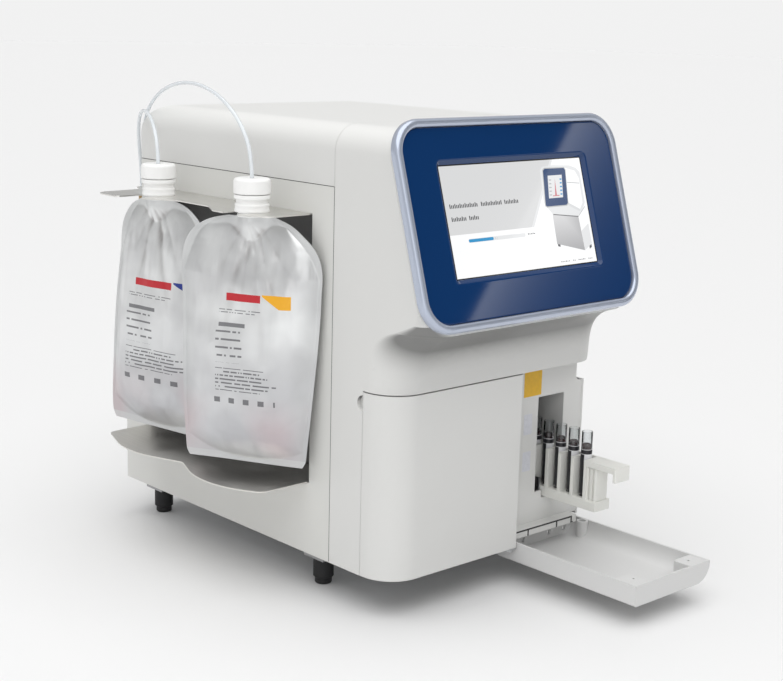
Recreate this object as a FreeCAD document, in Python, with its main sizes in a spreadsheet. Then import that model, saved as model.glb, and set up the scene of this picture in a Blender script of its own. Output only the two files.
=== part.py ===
"""Benchtop glycohemoglobin analyzer with hanging eluent pouches and a rack of sample tubes."""
import FreeCAD, Part
import Sketcher
import math
import os

Vector = FreeCAD.Vector
doc = FreeCAD.newDocument("glycohemoglobin_analyzer")
sheet = doc.addObject("Spreadsheet::Sheet", "sizes")
NODES = []


class Size:
    """A length with its value and the sheet expression that it comes from."""

    def __init__(self, value, text):
        self.value = float(value)
        self.text = text

    def __add__(self, other):
        other = as_size(other)
        return Size(self.value + other.value, f"({self.text} + {other.text})")

    def __sub__(self, other):
        other = as_size(other)
        return Size(self.value - other.value, f"({self.text} - {other.text})")

    def __mul__(self, other):
        other = as_size(other)
        return Size(self.value * other.value, f"({self.text} * {other.text})")

    def __truediv__(self, other):
        other = as_size(other)
        return Size(self.value / other.value, f"({self.text} / {other.text})")

    def __neg__(self):
        return Size(-self.value, f"(0 - {self.text})")

    def __radd__(self, other):
        return as_size(other) + self

    def __rsub__(self, other):
        return as_size(other) - self

    def __rmul__(self, other):
        return as_size(other) * self


def as_size(amount):
    """Take a plain number as a size."""
    if isinstance(amount, Size):
        return amount
    text = repr(float(amount)) if amount >= 0 else f"(0 - {-float(amount)!r})"
    return Size(amount, text)


def turned(size, function):
    """A trigonometric share of a size in degrees."""
    value = {"sin": math.sin, "cos": math.cos, "tan": math.tan}[function](math.radians(size.value))
    return Size(value, f"{function}({size.text} * 1 deg)")


row = 0


def size(alias, value, meaning):
    """Write one driving dimension into the sheet."""
    global row
    row += 1
    sheet.set(f"A{row}", meaning)
    sheet.set(f"B{row}", str(value))
    sheet.setAlias(f"B{row}", alias)
    return Size(value, f"sizes.{alias}")


# Housing
housing_width = size("housing_width", 338, "width over the side panels")
housing_depth = size("housing_depth", 515, "front plane to the lower rear panel")
upper_depth = size("upper_depth", 474, "front plane to the rear of the top cover")
ledge_height = size("ledge_height", 350, "height of the step at the rear")
side_height = size("side_height", 424, "side panel height, up to the top cover's seam")
cover_tall = size("cover_tall", 67, "top cover above its seam")
housing_height = side_height + cover_tall
side_seam = size("side_seam", 99, "front moulding's seam on the side")
seam_height = size("seam_height", 209.5, "seam between the doors and the head")
shell_wall = size("shell_wall", 3, "moulded wall")
sheet_wall = size("sheet_wall", 1.5, "sheet metal")
front_round = size("front_round", 40, "radius of the vertical front corners")
top_round = size("top_round", 30, "radius along the top cover's sides")
rear_round = size("rear_round", 38, "radius of the top cover's rear edge")
foot_rise = size("foot_rise", 45, "bench to the underside of the housing")
gap = size("gap", 0.3, "clearance between neighbouring pieces")
running = size("running", 0.05, "radial clearance of a pin in its bore")

# Head and screen
tilt = size("screen_tilt", 16.8, "screen's lean back from upright, in degrees")
screen_y = size("screen_y", -34, "lower edge of the display, front to back")
screen_drop = size("screen_drop", 154, "lower edge of the display below the housing's top")
screen_z = housing_height - screen_drop
display_width = size("display_width", 223, "active display width")
display_tall = size("display_tall", 119.4, "active display height")
ring_width = size("ring_width", 346, "bezel ring width")
ring_below = size("ring_below", 56, "ring below the display")
ring_above = size("ring_above", 170, "ring top from the display's lower edge")
ring_bar = size("ring_bar", 9.5, "width of the ring's bar")
ring_round = size("ring_round", 38, "corner radius of the ring")
ring_depth = size("ring_depth", 11, "ring thickness, front to back")
head_back = size("head_back", 2.4, "display plane to the head's front face")
face_proud = size("face_proud", 4, "blue face in front of the display")

# Doors
door_right = size("door_right", 203, "right edge of the front door")
door_wrap = size("door_wrap", 46, "front door's reach round the side")
door_gap = size("door_gap", 1.2, "gap above the doors")
hinge_inset = size("hinge_inset", 7, "front door pin from its right edge")
hinge_y = size("hinge_y", 5, "front door pin behind the front plane")
pin_radius = size("pin_radius", 2, "hinge pins")
bay_left = size("bay_left", 205, "left edge of the sample bay")
bay_depth = size("bay_depth", 25, "sample bay panel behind the front plane")
flap_near = size("flap_near", 32.3, "inner edge of the open sample door behind the front plane")
flap_drop = size("flap_drop", 19, "open sample door below the housing's underside")
flap_wall = size("flap_wall", 24, "depth of the sample door")
flap_height = seam_height - door_gap
flap_reach = flap_height - flap_near
flap_pin_y = (flap_near + flap_drop) / 2
flap_pin_z = (flap_near - flap_drop) / 2

# Reagent side
bay_front = size("bay_front", 136, "front edge of the reagent bay")
bay_rear = size("bay_rear", 458, "rear edge of the reagent bay")
bay_floor = size("bay_floor", 84, "floor of the reagent bay")
bay_head = size("bay_head", 33, "side panel above the reagent bay")
bay_top = side_height - bay_head
bay_inset = size("bay_inset", 42, "depth of the reagent bay")
spout_x = size("spout_x", -45, "spout centre outside the side panel")
spout_a_y = size("spout_a_y", 368.5, "rear pouch's spout")
spout_b_y = size("spout_b_y", 185.4, "front pouch's spout")
slot_width = size("slot_width", 28, "hanger slot for a spout")
hanger_reach = size("hanger_reach", 94, "hanger prong tip outside the side panel")
shelf_reach = size("shelf_reach", 66, "straight edge of the shelf outside the side panel")
pouch_width = size("pouch_width", 168, "flat width of a pouch")
pouch_lift = size("pouch_lift", 5, "pouch top below the hanger")
pouch_clear = size("pouch_clear", 22, "pouch foot above the bay's floor")
pouch_tall = bay_top - pouch_lift - bay_floor - pouch_clear
pouch_full = size("pouch_full", 44, "thickness of a full pouch")
pouch_turn = size("pouch_turn", 28, "front pouch's turn about its spout, in degrees")
pouch_turn_rear = size("pouch_turn_rear", 9, "rear pouch's turn about its spout, in degrees")
cap_radius = size("cap_radius", 20.5, "spout cap")
cap_tall = size("cap_tall", 17, "spout cap height")
neck_radius = size("neck_radius", 13.6, "threaded spout neck")
line_radius = size("line_radius", 2.2, "eluent tubing")

# Sample rack
rack_offset = size("rack_offset", 13.5, "tubes from the middle of the sample bay")
rack_x = (bay_left + housing_width) / 2 + rack_offset
tube_radius = size("tube_radius", 6.5, "sample tube")
tube_tall = size("tube_tall", 84, "sample tube height")
tube_pitch = size("tube_pitch", 20, "tube spacing")
first_tube_y = size("first_tube_y", -29.7, "front tube")
rack_floor = size("rack_floor", 44, "underside of the rack")
rack_base = size("rack_base", 12, "rack base height")
rack_half = size("rack_half", 13, "half the rack's width")
rack_tall = size("rack_tall", 59, "rack height")
TUBES = 5

# Row frame: the middle of the box on the bench
rear_lip = size("rear_lip", 2.4, "inlet flange behind the rear panel")
origin_x = (housing_width / 2 + ring_width / 2 - hanger_reach) / 2
origin_y = (housing_depth + rear_lip - flap_reach) / 2
middle = housing_width / 2


def bind(thing, name, amount):
    """Give a property its value and tie it to the sheet."""
    amount = as_size(amount)
    if hasattr(thing, name):
        setattr(thing, name, amount.value)
    thing.setExpression(name, amount.text)


def place(thing, x, y, z, axis=(0, 0, 1), angle=0):
    """Set a placement whose numbers come from the sheet."""
    spot = [as_size(amount) for amount in (x, y, z)]
    turn = as_size(angle)
    base = Vector(spot[0].value, spot[1].value, spot[2].value)
    thing.Placement = FreeCAD.Placement(base, FreeCAD.Rotation(Vector(axis), turn.value))
    for letter, amount in zip("xyz", spot):
        thing.setExpression(f"Placement.Base.{letter}", amount.text)
    if isinstance(angle, Size):
        thing.setExpression("Placement.Rotation.Angle", angle.text)


def node(label, thing, x=0, y=0, z=0, axis=(0, 0, 1), angle=0):
    """Name a finished piece and set it in the row frame."""
    thing.Label = label
    place(thing, x - origin_x, y - origin_y, z + foot_rise, axis, angle)
    NODES.append(thing)
    return thing


def box(x0, x1, y0, y1, z0, z1):
    """A block between two corners."""
    block = doc.addObject("Part::Box", "block")
    for name, low, high in (("Length", x0, x1), ("Width", y0, y1), ("Height", z0, z1)):
        bind(block, name, as_size(high) - low)
    place(block, x0, y0, z0)
    return block


TURNS = {"x": ((0, 1, 0), 90), "y": ((1, 0, 0), -90), "z": ((0, 0, 1), 0)}


def rod(axis, x, y, z, length, radius):
    """A round bar that starts at a point and runs along an axis."""
    bar = doc.addObject("Part::Cylinder", "bar")
    bind(bar, "Radius", radius)
    bind(bar, "Height", length)
    place(bar, x, y, z, *TURNS[axis])
    return bar


def fuse(*pieces):
    """One solid from several."""
    joined = doc.addObject("Part::MultiFuse", "joined")
    joined.Shapes = list(pieces)
    joined.Refine = True
    return joined


def cut(base, *tools):
    """Take the tools out of the base."""
    left = doc.addObject("Part::Cut", "left")
    left.Base = base
    left.Tool = tools[0] if len(tools) == 1 else fuse(*tools)
    left.Refine = True
    return left


def group(*pieces):
    """Like small hardware that shares one file."""
    together = doc.addObject("Part::Compound", "together")
    together.Links = list(pieces)
    return together


PLANES = {"XY": ("XY_Plane", 1), "XZ": ("XZ_Plane", -1), "YZ": ("YZ_Plane", 1)}


def sketch_on(body, plane, offset):
    """A sketch on one of the body's own planes, moved along its axis."""
    role, sign = PLANES[plane]
    face = next(item for item in body.Origin.OriginFeatures if item.Role == role)
    sketch = body.newObject("Sketcher::SketchObject", "outline")
    sketch.AttachmentSupport = [(face, "")]
    sketch.MapMode = "FlatFace"
    away = as_size(offset) * sign
    sketch.AttachmentOffset = FreeCAD.Placement(Vector(0, 0, away.value), FreeCAD.Rotation())
    sketch.setExpression("AttachmentOffset.Base.z", away.text)
    return sketch


def hold(sketch, kind, item, end, amount, name):
    """Tie one coordinate of a point, or a radius, to the sheet."""
    amount = as_size(amount)
    if kind == "Radius":
        index = sketch.addConstraint(Sketcher.Constraint(kind, item, amount.value))
    else:
        index = sketch.addConstraint(Sketcher.Constraint(kind, -1, 1, item, end, amount.value))
    sketch.renameConstraint(index, name)
    sketch.setExpression(f"Constraints.{name}", amount.text)


def outline(sketch, corners):
    """A closed outline: each corner is (x, y) or (x, y, radius)."""
    mark = f"g{sketch.GeometryCount}"
    spots = [Vector(as_size(c[0]).value, as_size(c[1]).value, 0) for c in corners]
    count = len(corners)
    entry, leave, arcs = [], [], []
    for i, corner in enumerate(corners):
        before = (spots[i - 1] - spots[i]).normalize()
        after = (spots[(i + 1) % count] - spots[i]).normalize()
        if len(corner) == 2:
            entry.append(spots[i])
            leave.append(spots[i])
            arcs.append(None)
            continue
        radius = as_size(corner[2]).value
        half = before.getAngle(after) / 2
        back = radius / math.tan(half)
        centre = spots[i] + (before + after).normalize() * (radius / math.sin(half))
        first, last = spots[i] + before * back, spots[i] + after * back
        middle_point = centre + (spots[i] - centre).normalize() * radius
        entry.append(first)
        leave.append(last)
        counter = (before.cross(after)).z < 0
        arcs.append(Part.Arc(first, middle_point, last) if counter else Part.Arc(last, middle_point, first))
    points = [sketch.addGeometry(Part.Point(spot), True) for spot in spots]
    lines = []
    for i in range(count):
        segment = Part.LineSegment(leave[i], entry[(i + 1) % count])
        lines.append(sketch.addGeometry(segment, False))
    for i, corner in enumerate(corners):
        hold(sketch, "DistanceX", points[i], 1, corner[0], f"{mark}x{i}")
        hold(sketch, "DistanceY", points[i], 1, corner[1], f"{mark}y{i}")
        if arcs[i] is None:
            sketch.addConstraint(Sketcher.Constraint("Coincident", lines[i - 1], 2, points[i], 1))
            sketch.addConstraint(Sketcher.Constraint("Coincident", lines[i], 1, points[i], 1))
            continue
        bend = sketch.addGeometry(arcs[i], False)
        ends = (1, 2)
        if (sketch.Geometry[bend].StartPoint - entry[i]).Length > 1e-6:
            ends = (2, 1)
        sketch.addConstraint(Sketcher.Constraint("PointOnObject", points[i], 1, lines[i - 1]))
        sketch.addConstraint(Sketcher.Constraint("PointOnObject", points[i], 1, lines[i]))
        sketch.addConstraint(Sketcher.Constraint("Tangent", lines[i - 1], 2, bend, ends[0]))
        sketch.addConstraint(Sketcher.Constraint("Tangent", lines[i], 1, bend, ends[1]))
        hold(sketch, "Radius", bend, 0, corner[2], f"{mark}r{i}")


def ring_line(sketch, x, y, radius):
    """A full circle in a sketch."""
    mark = f"g{sketch.GeometryCount}"
    centre = Vector(as_size(x).value, as_size(y).value, 0)
    item = sketch.addGeometry(Part.Circle(centre, Vector(0, 0, 1), as_size(radius).value), False)
    hold(sketch, "DistanceX", item, 3, x, f"{mark}x")
    hold(sketch, "DistanceY", item, 3, y, f"{mark}y")
    hold(sketch, "Radius", item, 0, radius, f"{mark}r")


def draw(sketch, shapes):
    """Put outlines and circles, given as (x, y, radius) tuples, into a sketch."""
    for shape in shapes:
        if isinstance(shape, tuple):
            ring_line(sketch, *shape)
        else:
            outline(sketch, shape)


def new_body(label):
    """An empty body."""
    return doc.addObject("PartDesign::Body", label)


def add(body, plane, low, high, *shapes):
    """Add a straight block of the given outline between two heights."""
    sketch = sketch_on(body, plane, low)
    draw(sketch, shapes)
    pad = body.newObject("PartDesign::Pad", "block")
    pad.Profile = sketch
    pad.Reversed = plane == "XZ"
    bind(pad, "Length", as_size(high) - low)
    doc.recompute()
    return pad


def take(body, plane, low, high, *shapes):
    """Cut the given outline out of the body between two heights."""
    before = body.Shape.Volume
    sketch = sketch_on(body, plane, low if plane == "XZ" else high)
    draw(sketch, shapes)
    pocket = body.newObject("PartDesign::Pocket", "opening")
    pocket.Profile = sketch
    bind(pocket, "Length", as_size(high) - low)
    doc.recompute()
    if body.Shape.Volume > before - 0.01:
        raise RuntimeError(f"{body.Label}: a cut takes nothing away")
    return pocket


def spin(body, corners, remove=False):
    """Turn a profile of (radius, height) corners about the body's Z axis."""
    sketch = sketch_on(body, "XZ", 0)
    outline(sketch, corners)
    kind = "PartDesign::Groove" if remove else "PartDesign::Revolution"
    turned_piece = body.newObject(kind, "turned")
    turned_piece.Profile = sketch
    turned_piece.ReferenceAxis = (sketch, ["V_Axis"])
    turned_piece.Angle = 360
    doc.recompute()
    return turned_piece


def rect(x0, x1, y0, y1, radius=None):
    """A rectangle, with all its corners rounded if a radius is given."""
    corners = [(x0, y0), (x1, y0), (x1, y1), (x0, y1)]
    return corners if radius is None else [corner + (radius,) for corner in corners]


def loft(body, sections, ruled=False):
    """A solid through outlines given as (height, corners)."""
    sketches = []
    for height, corners in sections:
        sketch = sketch_on(body, "XY", height)
        outline(sketch, corners)
        sketches.append(sketch)
    skin = body.newObject("PartDesign::AdditiveLoft", "skin")
    skin.Profile = sketches[0]
    skin.Sections = sketches[1:]
    skin.Ruled = ruled
    doc.recompute()
    return skin


def head_y(height, behind):
    """Front to back place of a plane parallel to the display, at a height."""
    return screen_y + (height - screen_z) * turned(tilt, "tan") + as_size(behind) / turned(tilt, "cos")


def taken_loft(body, sections):
    """A tapered opening through outlines given as (height, corners)."""
    sketches = []
    for height, corners in sections:
        sketch = sketch_on(body, "XY", height)
        outline(sketch, corners)
        sketches.append(sketch)
    hole = body.newObject("PartDesign::SubtractiveLoft", "tapered_opening")
    hole.Profile = sketches[0]
    hole.Sections = sketches[1:]
    doc.recompute()
    return hole


def corner_waste(x, y, radius, toward_x, toward_y):
    """The waste outside a rounded corner at (x, y) that points toward the given signs."""
    lead = 2
    out = 6
    back_x = x - (radius + lead) * toward_x
    back_y = y - (radius + lead) * toward_y
    return [(back_x, y + out * toward_y), (x + out * toward_x, y + out * toward_y),
            (x + out * toward_x, back_y), (x, back_y), (x, y, radius), (back_x, y)]


# Base, feet and brackets
foot_x = size("foot_x", 32, "foot centre from the side")
foot_front = size("foot_front", 146, "front feet from the front plane")
foot_rear = size("foot_rear", 478, "rear feet from the front plane")
foot_radius = size("foot_radius", 12, "rubber foot")
bracket_drop = size("bracket_drop", 14, "foot bracket below the housing")
bracket_half = size("bracket_half", 13, "half the bracket's width")
tray_lip = size("tray_lip", 18, "upturned edge of the base tray")
tray_wall = size("tray_wall", 2, "base tray sheet")


def base():
    """Folded base tray, four feet and the brackets that carry them."""
    side = shell_wall + gap
    front = door_wrap + 2
    tray = new_body("base_tray")
    add(tray, "XY", 0, tray_lip, rect(side, housing_width - side, front, housing_depth - sheet_wall - gap))
    take(tray, "XY", tray_wall, tray_lip,
         rect(side + tray_wall, housing_width - side - tray_wall,
              front + tray_wall, housing_depth - sheet_wall - gap - tray_wall))
    node("base_tray", tray)
    brackets = []
    for end, y in (("front", foot_front), ("rear", foot_rear)):
        for side_name, x in (("left", foot_x), ("right", housing_width - foot_x)):
            foot = new_body("foot")
            top = foot_rise - bracket_drop
            spin(foot, [(0, 0), (foot_radius - 2, 0, 2), (foot_radius - 2, 7), (foot_radius, 9),
                        (foot_radius, top), (0, top)])
            node(f"foot_{end}_{side_name}", foot, x, y, -foot_rise)
            outer = box(x - bracket_half, x + bracket_half, y - 14, y + 21, -bracket_drop, 0)
            inner = box(x - bracket_half + tray_wall, x + bracket_half - tray_wall, y - 15, y + 22,
                        -bracket_drop + tray_wall, 1)
            holes = [rod("x", x - bracket_half - 1, y + step, -bracket_drop / 2, bracket_half * 2 + 2, 2.5)
                     for step in (-6, 13)]
            brackets.append(cut(outer, inner, *holes))
    node("foot_brackets", group(*brackets))


louvre_long = size("louvre_long", 70, "cooling slot length")
louvre_tall = size("louvre_tall", 4, "cooling slot height")
louvre_pitch = size("louvre_pitch", 10, "cooling slot spacing")
louvre_front = size("louvre_front", 250, "first cooling slots from the front plane")
louvre_low = size("louvre_low", 249, "lowest cooling slot")
liner_wall = size("liner_wall", 2, "reagent bay liner")


def side_outline():
    """Outline of a side panel, with the step at the rear."""
    front = side_seam + gap
    return [(front, 0), (housing_depth, 0), (housing_depth, ledge_height, 10), (upper_depth, ledge_height),
            (upper_depth, side_height - gap), (front, side_height - gap)]


def side_panels():
    """Left panel with its reagent bay, and the louvred right panel."""
    left = new_body("left_side_panel")
    add(left, "YZ", 0, shell_wall, side_outline())
    take(left, "YZ", -1, shell_wall + 1, rect(bay_front, bay_rear, bay_floor, bay_top, 1.5))
    node("left_side_panel", left)
    deep = shell_wall + bay_inset
    liner = cut(box(shell_wall, deep + liner_wall, bay_front - liner_wall, bay_rear + liner_wall,
                    bay_floor - liner_wall, bay_top + liner_wall),
                box(0, deep, bay_front, bay_rear, bay_floor, bay_top))
    node("reagent_bay_liner", liner)
    right = new_body("right_side_panel")
    add(right, "YZ", housing_width - shell_wall, housing_width, side_outline())
    for start in (louvre_front, louvre_front + louvre_long + 30):
        slots = []
        for i in range(8):
            low = louvre_low + louvre_pitch * i
            slots.append(rect(start, start + louvre_long, low, low + louvre_tall))
        take(right, "YZ", housing_width - shell_wall - 1, housing_width + 1, *slots)
    node("right_side_panel", right)


fan_x = size("fan_x", 240, "cooling fan from the left side")
fan_z = size("fan_z", 120, "cooling fan height")
fan_half = size("fan_half", 40, "half the fan frame's width")
fan_depth = size("fan_depth", 25, "fan frame depth")
fan_bore = size("fan_bore", 37, "fan duct radius")
inlet_x = size("inlet_x", 70, "power inlet from the left side")
inlet_z = size("inlet_z", 60, "power inlet height")
inlet_half_x = size("inlet_half_x", 14, "half the inlet's width")
inlet_half_z = size("inlet_half_z", 33, "half the inlet's height")
port_x = size("port_x", 140, "data ports from the left side")
port_z = size("port_z", 50, "data ports' height")
line_a_x = size("line_a_x", 13, "rear line fitting for the rear pouch")
line_b_x = size("line_b_x", 30, "rear line fitting for the front pouch")
waste_x = size("waste_x", 60, "waste outlet")
fitting_radius = size("fitting_radius", 5, "shank of a rear fitting")
fitting_y = (upper_depth + housing_depth) / 2


def rear_panel():
    """Folded rear sheet with the fan grille and the openings for connectors."""
    side = shell_wall + gap
    lip = upper_depth - sheet_wall
    back = housing_depth - sheet_wall
    panel = new_body("rear_panel")
    add(panel, "YZ", side, housing_width - side,
        [(back, 0), (housing_depth, 0), (housing_depth, ledge_height - gap, 10),
         (upper_depth, ledge_height - gap), (upper_depth, side_height - gap), (lip, side_height - gap),
         (lip, ledge_height - sheet_wall - gap), (back, ledge_height - sheet_wall - gap, 8.5)])
    slots = []
    for i in range(-4, 5):
        reach = fan_bore * math.cos(math.asin(abs(i) / 5))
        x = fan_x + fan_bore * (i / 5)
        slots.append(rect(x - 2, x + 2, fan_z - reach, fan_z + reach))
    take(panel, "XZ", back - 1, housing_depth + 1, *slots)
    take(panel, "XZ", back - 1, housing_depth + 1,
         rect(inlet_x - inlet_half_x, inlet_x + inlet_half_x, inlet_z - inlet_half_z, inlet_z + inlet_half_z),
         rect(port_x - 30, port_x + 30, port_z - 10, port_z + 10))
    take(panel, "XY", ledge_height - 4, ledge_height + 2,
         (line_a_x, fitting_y, fitting_radius + running), (line_b_x, fitting_y, fitting_radius + running),
         (waste_x, fitting_y, fitting_radius + running))
    node("rear_panel", panel)


def cover_block(inset):
    """The top cover's outer form, or its hollow when inset."""
    top = housing_height - inset
    block = new_body("cover_form")
    round_side = top_round - inset
    low = side_height if inset == 0 else side_height - 1
    front = side_seam + gap if inset == 0 else side_seam - 1
    add(block, "XZ", front, upper_depth - inset,
        [(as_size(inset), low), (housing_width - inset, low),
         (housing_width - inset, top, round_side), (as_size(inset), top, round_side)])
    take(block, "YZ", -1, housing_width + 1,
         corner_waste(upper_depth - inset, top, rear_round - inset, 1, 1))
    return block


def top_cover():
    """Moulded cover with rounded side and rear edges."""
    node("top_cover", cut(cover_block(0), cover_block(3)))


# The head's flare: height above the seam, reach in front, corner radius
flare = [
    (size("flare_a_up", 15.5, "flare step"), size("flare_a_out", 1.2, "its reach"), 40),
    (size("flare_b_up", 32.5, "flare step"), size("flare_b_out", 3.4, "its reach"), 41),
    (size("flare_c_up", 46.5, "flare step"), size("flare_c_out", 9, "its reach"), 43),
    (size("flare_d_up", 58.5, "flare step"), size("flare_d_out", 20, "its reach"), 45),
]
flare_top = size("flare_top", 71.5, "top of the flare above the seam")


def head_section(height, y, radius, inset):
    """Plan section through the head: straight at the back, rounded in front."""
    back = side_seam + inset
    return (height, [(as_size(inset), back), (as_size(inset), y + inset, radius - inset),
                     (housing_width - inset, y + inset, radius - inset), (housing_width - inset, back)])


def head_block(inset):
    """The head's outer form, or its hollow when inset."""
    block = new_body("head_form")
    ledge = seam_height + flare_top
    low = seam_height if inset == 0 else seam_height - 1
    sections = [head_section(low, as_size(0), front_round, inset)]
    for up, out, radius in flare:
        sections.append(head_section(seam_height + up, -out, as_size(radius), inset))
    sections.append(head_section(ledge, head_y(ledge, head_back), as_size(46), inset))
    loft(block, sections)
    top = housing_height - inset
    upper = [head_section(height, head_y(height, head_back), as_size(radius), inset)
             for height, radius in ((ledge, 46), (ledge + 12, 14), (ledge + 24, 6), (top, 6))]
    loft(block, upper, ruled=True)
    round_top = top_round - inset
    for x, sign in ((as_size(inset), -1), (housing_width - inset, 1)):
        take(block, "XZ", -70, side_seam + inset + 1, corner_waste(x, top, round_top, sign, 1))
    return block


def front_frame():
    """Front moulding: head, side strips, finger scoop, screen opening and door pin lug."""
    shell = cut(head_block(0), head_block(3))
    pin_x = door_right - hinge_inset
    left = box(0, shell_wall, door_wrap + gap, side_seam, 0, seam_height + 1)
    right = box(housing_width - shell_wall, housing_width, bay_depth, side_seam, 0, seam_height + 1)
    pad = box(0, 9, door_wrap + gap, 74, seam_height - 30, seam_height + 1)
    lug = box(pin_x - 7, pin_x + 7, 1, hinge_y + 7, seam_height, seam_height + 6)
    joined = fuse(shell, left, right, pad, lug)
    window = new_body("window_form")
    reach = display_width / 2 + 16
    add(window, "XY", -40, 20, rect(-reach, reach, -18, display_tall + 18, 6))
    place(window, middle, screen_y, screen_z, (1, 0, 0), 90 - tilt)
    scoop = rod("x", -1, door_wrap + gap, seam_height - 14, 6, 9)
    bore = rod("z", pin_x, hinge_y, seam_height - 1, 8, pin_radius + running)
    relief = box(housing_width - 4, housing_width + 1, bay_depth - 1, flap_near + 1.5, -1, flap_pin_z + 2)
    notch = fuse(box(housing_width - 5, housing_width + 1, bay_depth - 1, bay_depth + 23, seam_height - 30, seam_height),
                 box(housing_width - 5, housing_width + 1, bay_depth - 1, bay_depth + 30, seam_height - 23, seam_height),
                 rod("x", housing_width - 5, bay_depth + 23, seam_height - 23, 6, 7))
    node("front_frame", cut(joined, window, scoop, bore, relief, notch))


def front_door():
    """L-shaped door round the left front corner, its bracket and its two pins."""
    pin_x = door_right - hinge_inset
    inner_round = front_round - shell_wall
    door = new_body("front_door")
    add(door, "XY", 0.4, flap_height,
        [(0, door_wrap), (0, 0, front_round), (door_right, 0, 1.5), (door_right, shell_wall),
         (shell_wall, shell_wall, inner_round), (shell_wall, door_wrap)])
    rim = [(shell_wall - 0.5, door_wrap), (shell_wall - 0.5, shell_wall - 0.5, inner_round),
           (pin_x - 10, shell_wall - 0.5), (pin_x - 10, 10), (10, 10, 30), (10, door_wrap)]
    for low in (as_size(3), flap_height - 5):
        add(door, "XY", low, low + 2, rim)
    for low in (as_size(4), flap_height - 9):
        add(door, "XY", low, low + 5, rect(pin_x - 6, pin_x + 5.5, shell_wall - 0.5, hinge_y + 4.5, 1))
        take(door, "XY", low - 1, low + 6, (pin_x, hinge_y, pin_radius + running))
    node("front_door", door)
    arm = new_body("door_hinge_bracket")
    add(arm, "XY", -tray_wall, 0, rect(pin_x - 8, pin_x + 7, 0.6, 92, 2))
    take(arm, "XY", -tray_wall - 1, 1, (pin_x, hinge_y, pin_radius + running))
    node("door_hinge_bracket", arm)
    lower = fuse(rod("z", pin_x, hinge_y, -tray_wall - 1, tray_wall + 11, pin_radius),
                 rod("z", pin_x, hinge_y, -tray_wall - 2, 1.9, pin_radius + 1.5))
    upper = rod("z", pin_x, hinge_y, flap_height - 10, door_gap + 15, pin_radius)
    node("door_hinge_pins", group(lower, upper))


def bezel():
    """Pearl ring, blue face, touch glass and display module on the tilted plane."""
    half = ring_width / 2
    front = ring_depth - head_back
    lean = dict(x=middle, y=screen_y, z=screen_z, axis=(1, 0, 0), angle=90 - tilt)
    ring = new_body("bezel_ring")
    add(ring, "XY", -head_back, front, rect(-half, half, -ring_below, ring_above, ring_round))
    inner = half - ring_bar
    low, high = -ring_below + ring_bar, ring_above - ring_bar
    take(ring, "XY", -head_back - 1, front + 1, rect(-inner, inner, low, high, ring_round - ring_bar))
    node("bezel_ring", ring, **lean)
    face = new_body("bezel_face")
    edge = inner - gap
    bend = ring_round - ring_bar - gap
    add(face, "XY", -head_back, face_proud, rect(-edge, edge, low + gap, high - gap, bend))
    take(face, "XY", -head_back - 1, gap, rect(-edge + 4, edge - 4, low + gap + 4, high - gap - 4, bend - 4))
    view = display_width / 2 + 1
    bevel = 4
    taken_loft(face, [(as_size(0), rect(-view, view, -1, display_tall + 1)),
                      (face_proud + 0.01, rect(-view - bevel, view + bevel, -1 - bevel,
                                               display_tall + 1 + bevel))])
    node("bezel_face", face, **lean)
    glass = new_body("touch_glass")
    wide = view + 22
    add(glass, "XY", -1.8, 0, rect(-wide, wide, -26, display_tall + 22, 3))
    node("touch_glass", glass, **lean)
    module = new_body("display_module")
    add(module, "XY", -8, -2.1, rect(-view - 13, view + 13, -15, display_tall + 15, 3))
    add(module, "XY", -22, -8, rect(-view - 6, view + 6, -7, display_tall + 7, 3))
    node("display_module", module, **lean)


opening_left = size("opening_left", 27, "sample opening left of the tubes")
opening_right = size("opening_right", 18, "sample opening right of the tubes")
opening_top = size("opening_top", 168, "top of the sample opening")
sill = size("sill", 12, "lower edge of the sample bay panel")
lug_one = size("lug_one", 41, "first hinge lug from the sample bay's left edge")
lug_two = size("lug_two", 7, "second hinge lug right of the tubes")
lug_three = size("lug_three", 18, "third hinge lug from the right side")
lug_places = [bay_left + lug_one, rack_x + lug_two, housing_width - lug_three]
lug_half = size("lug_half", 1.5, "half the hinge lug's width")
lug_reach = size("lug_reach", 3.6, "hinge lug round its pin")


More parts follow.
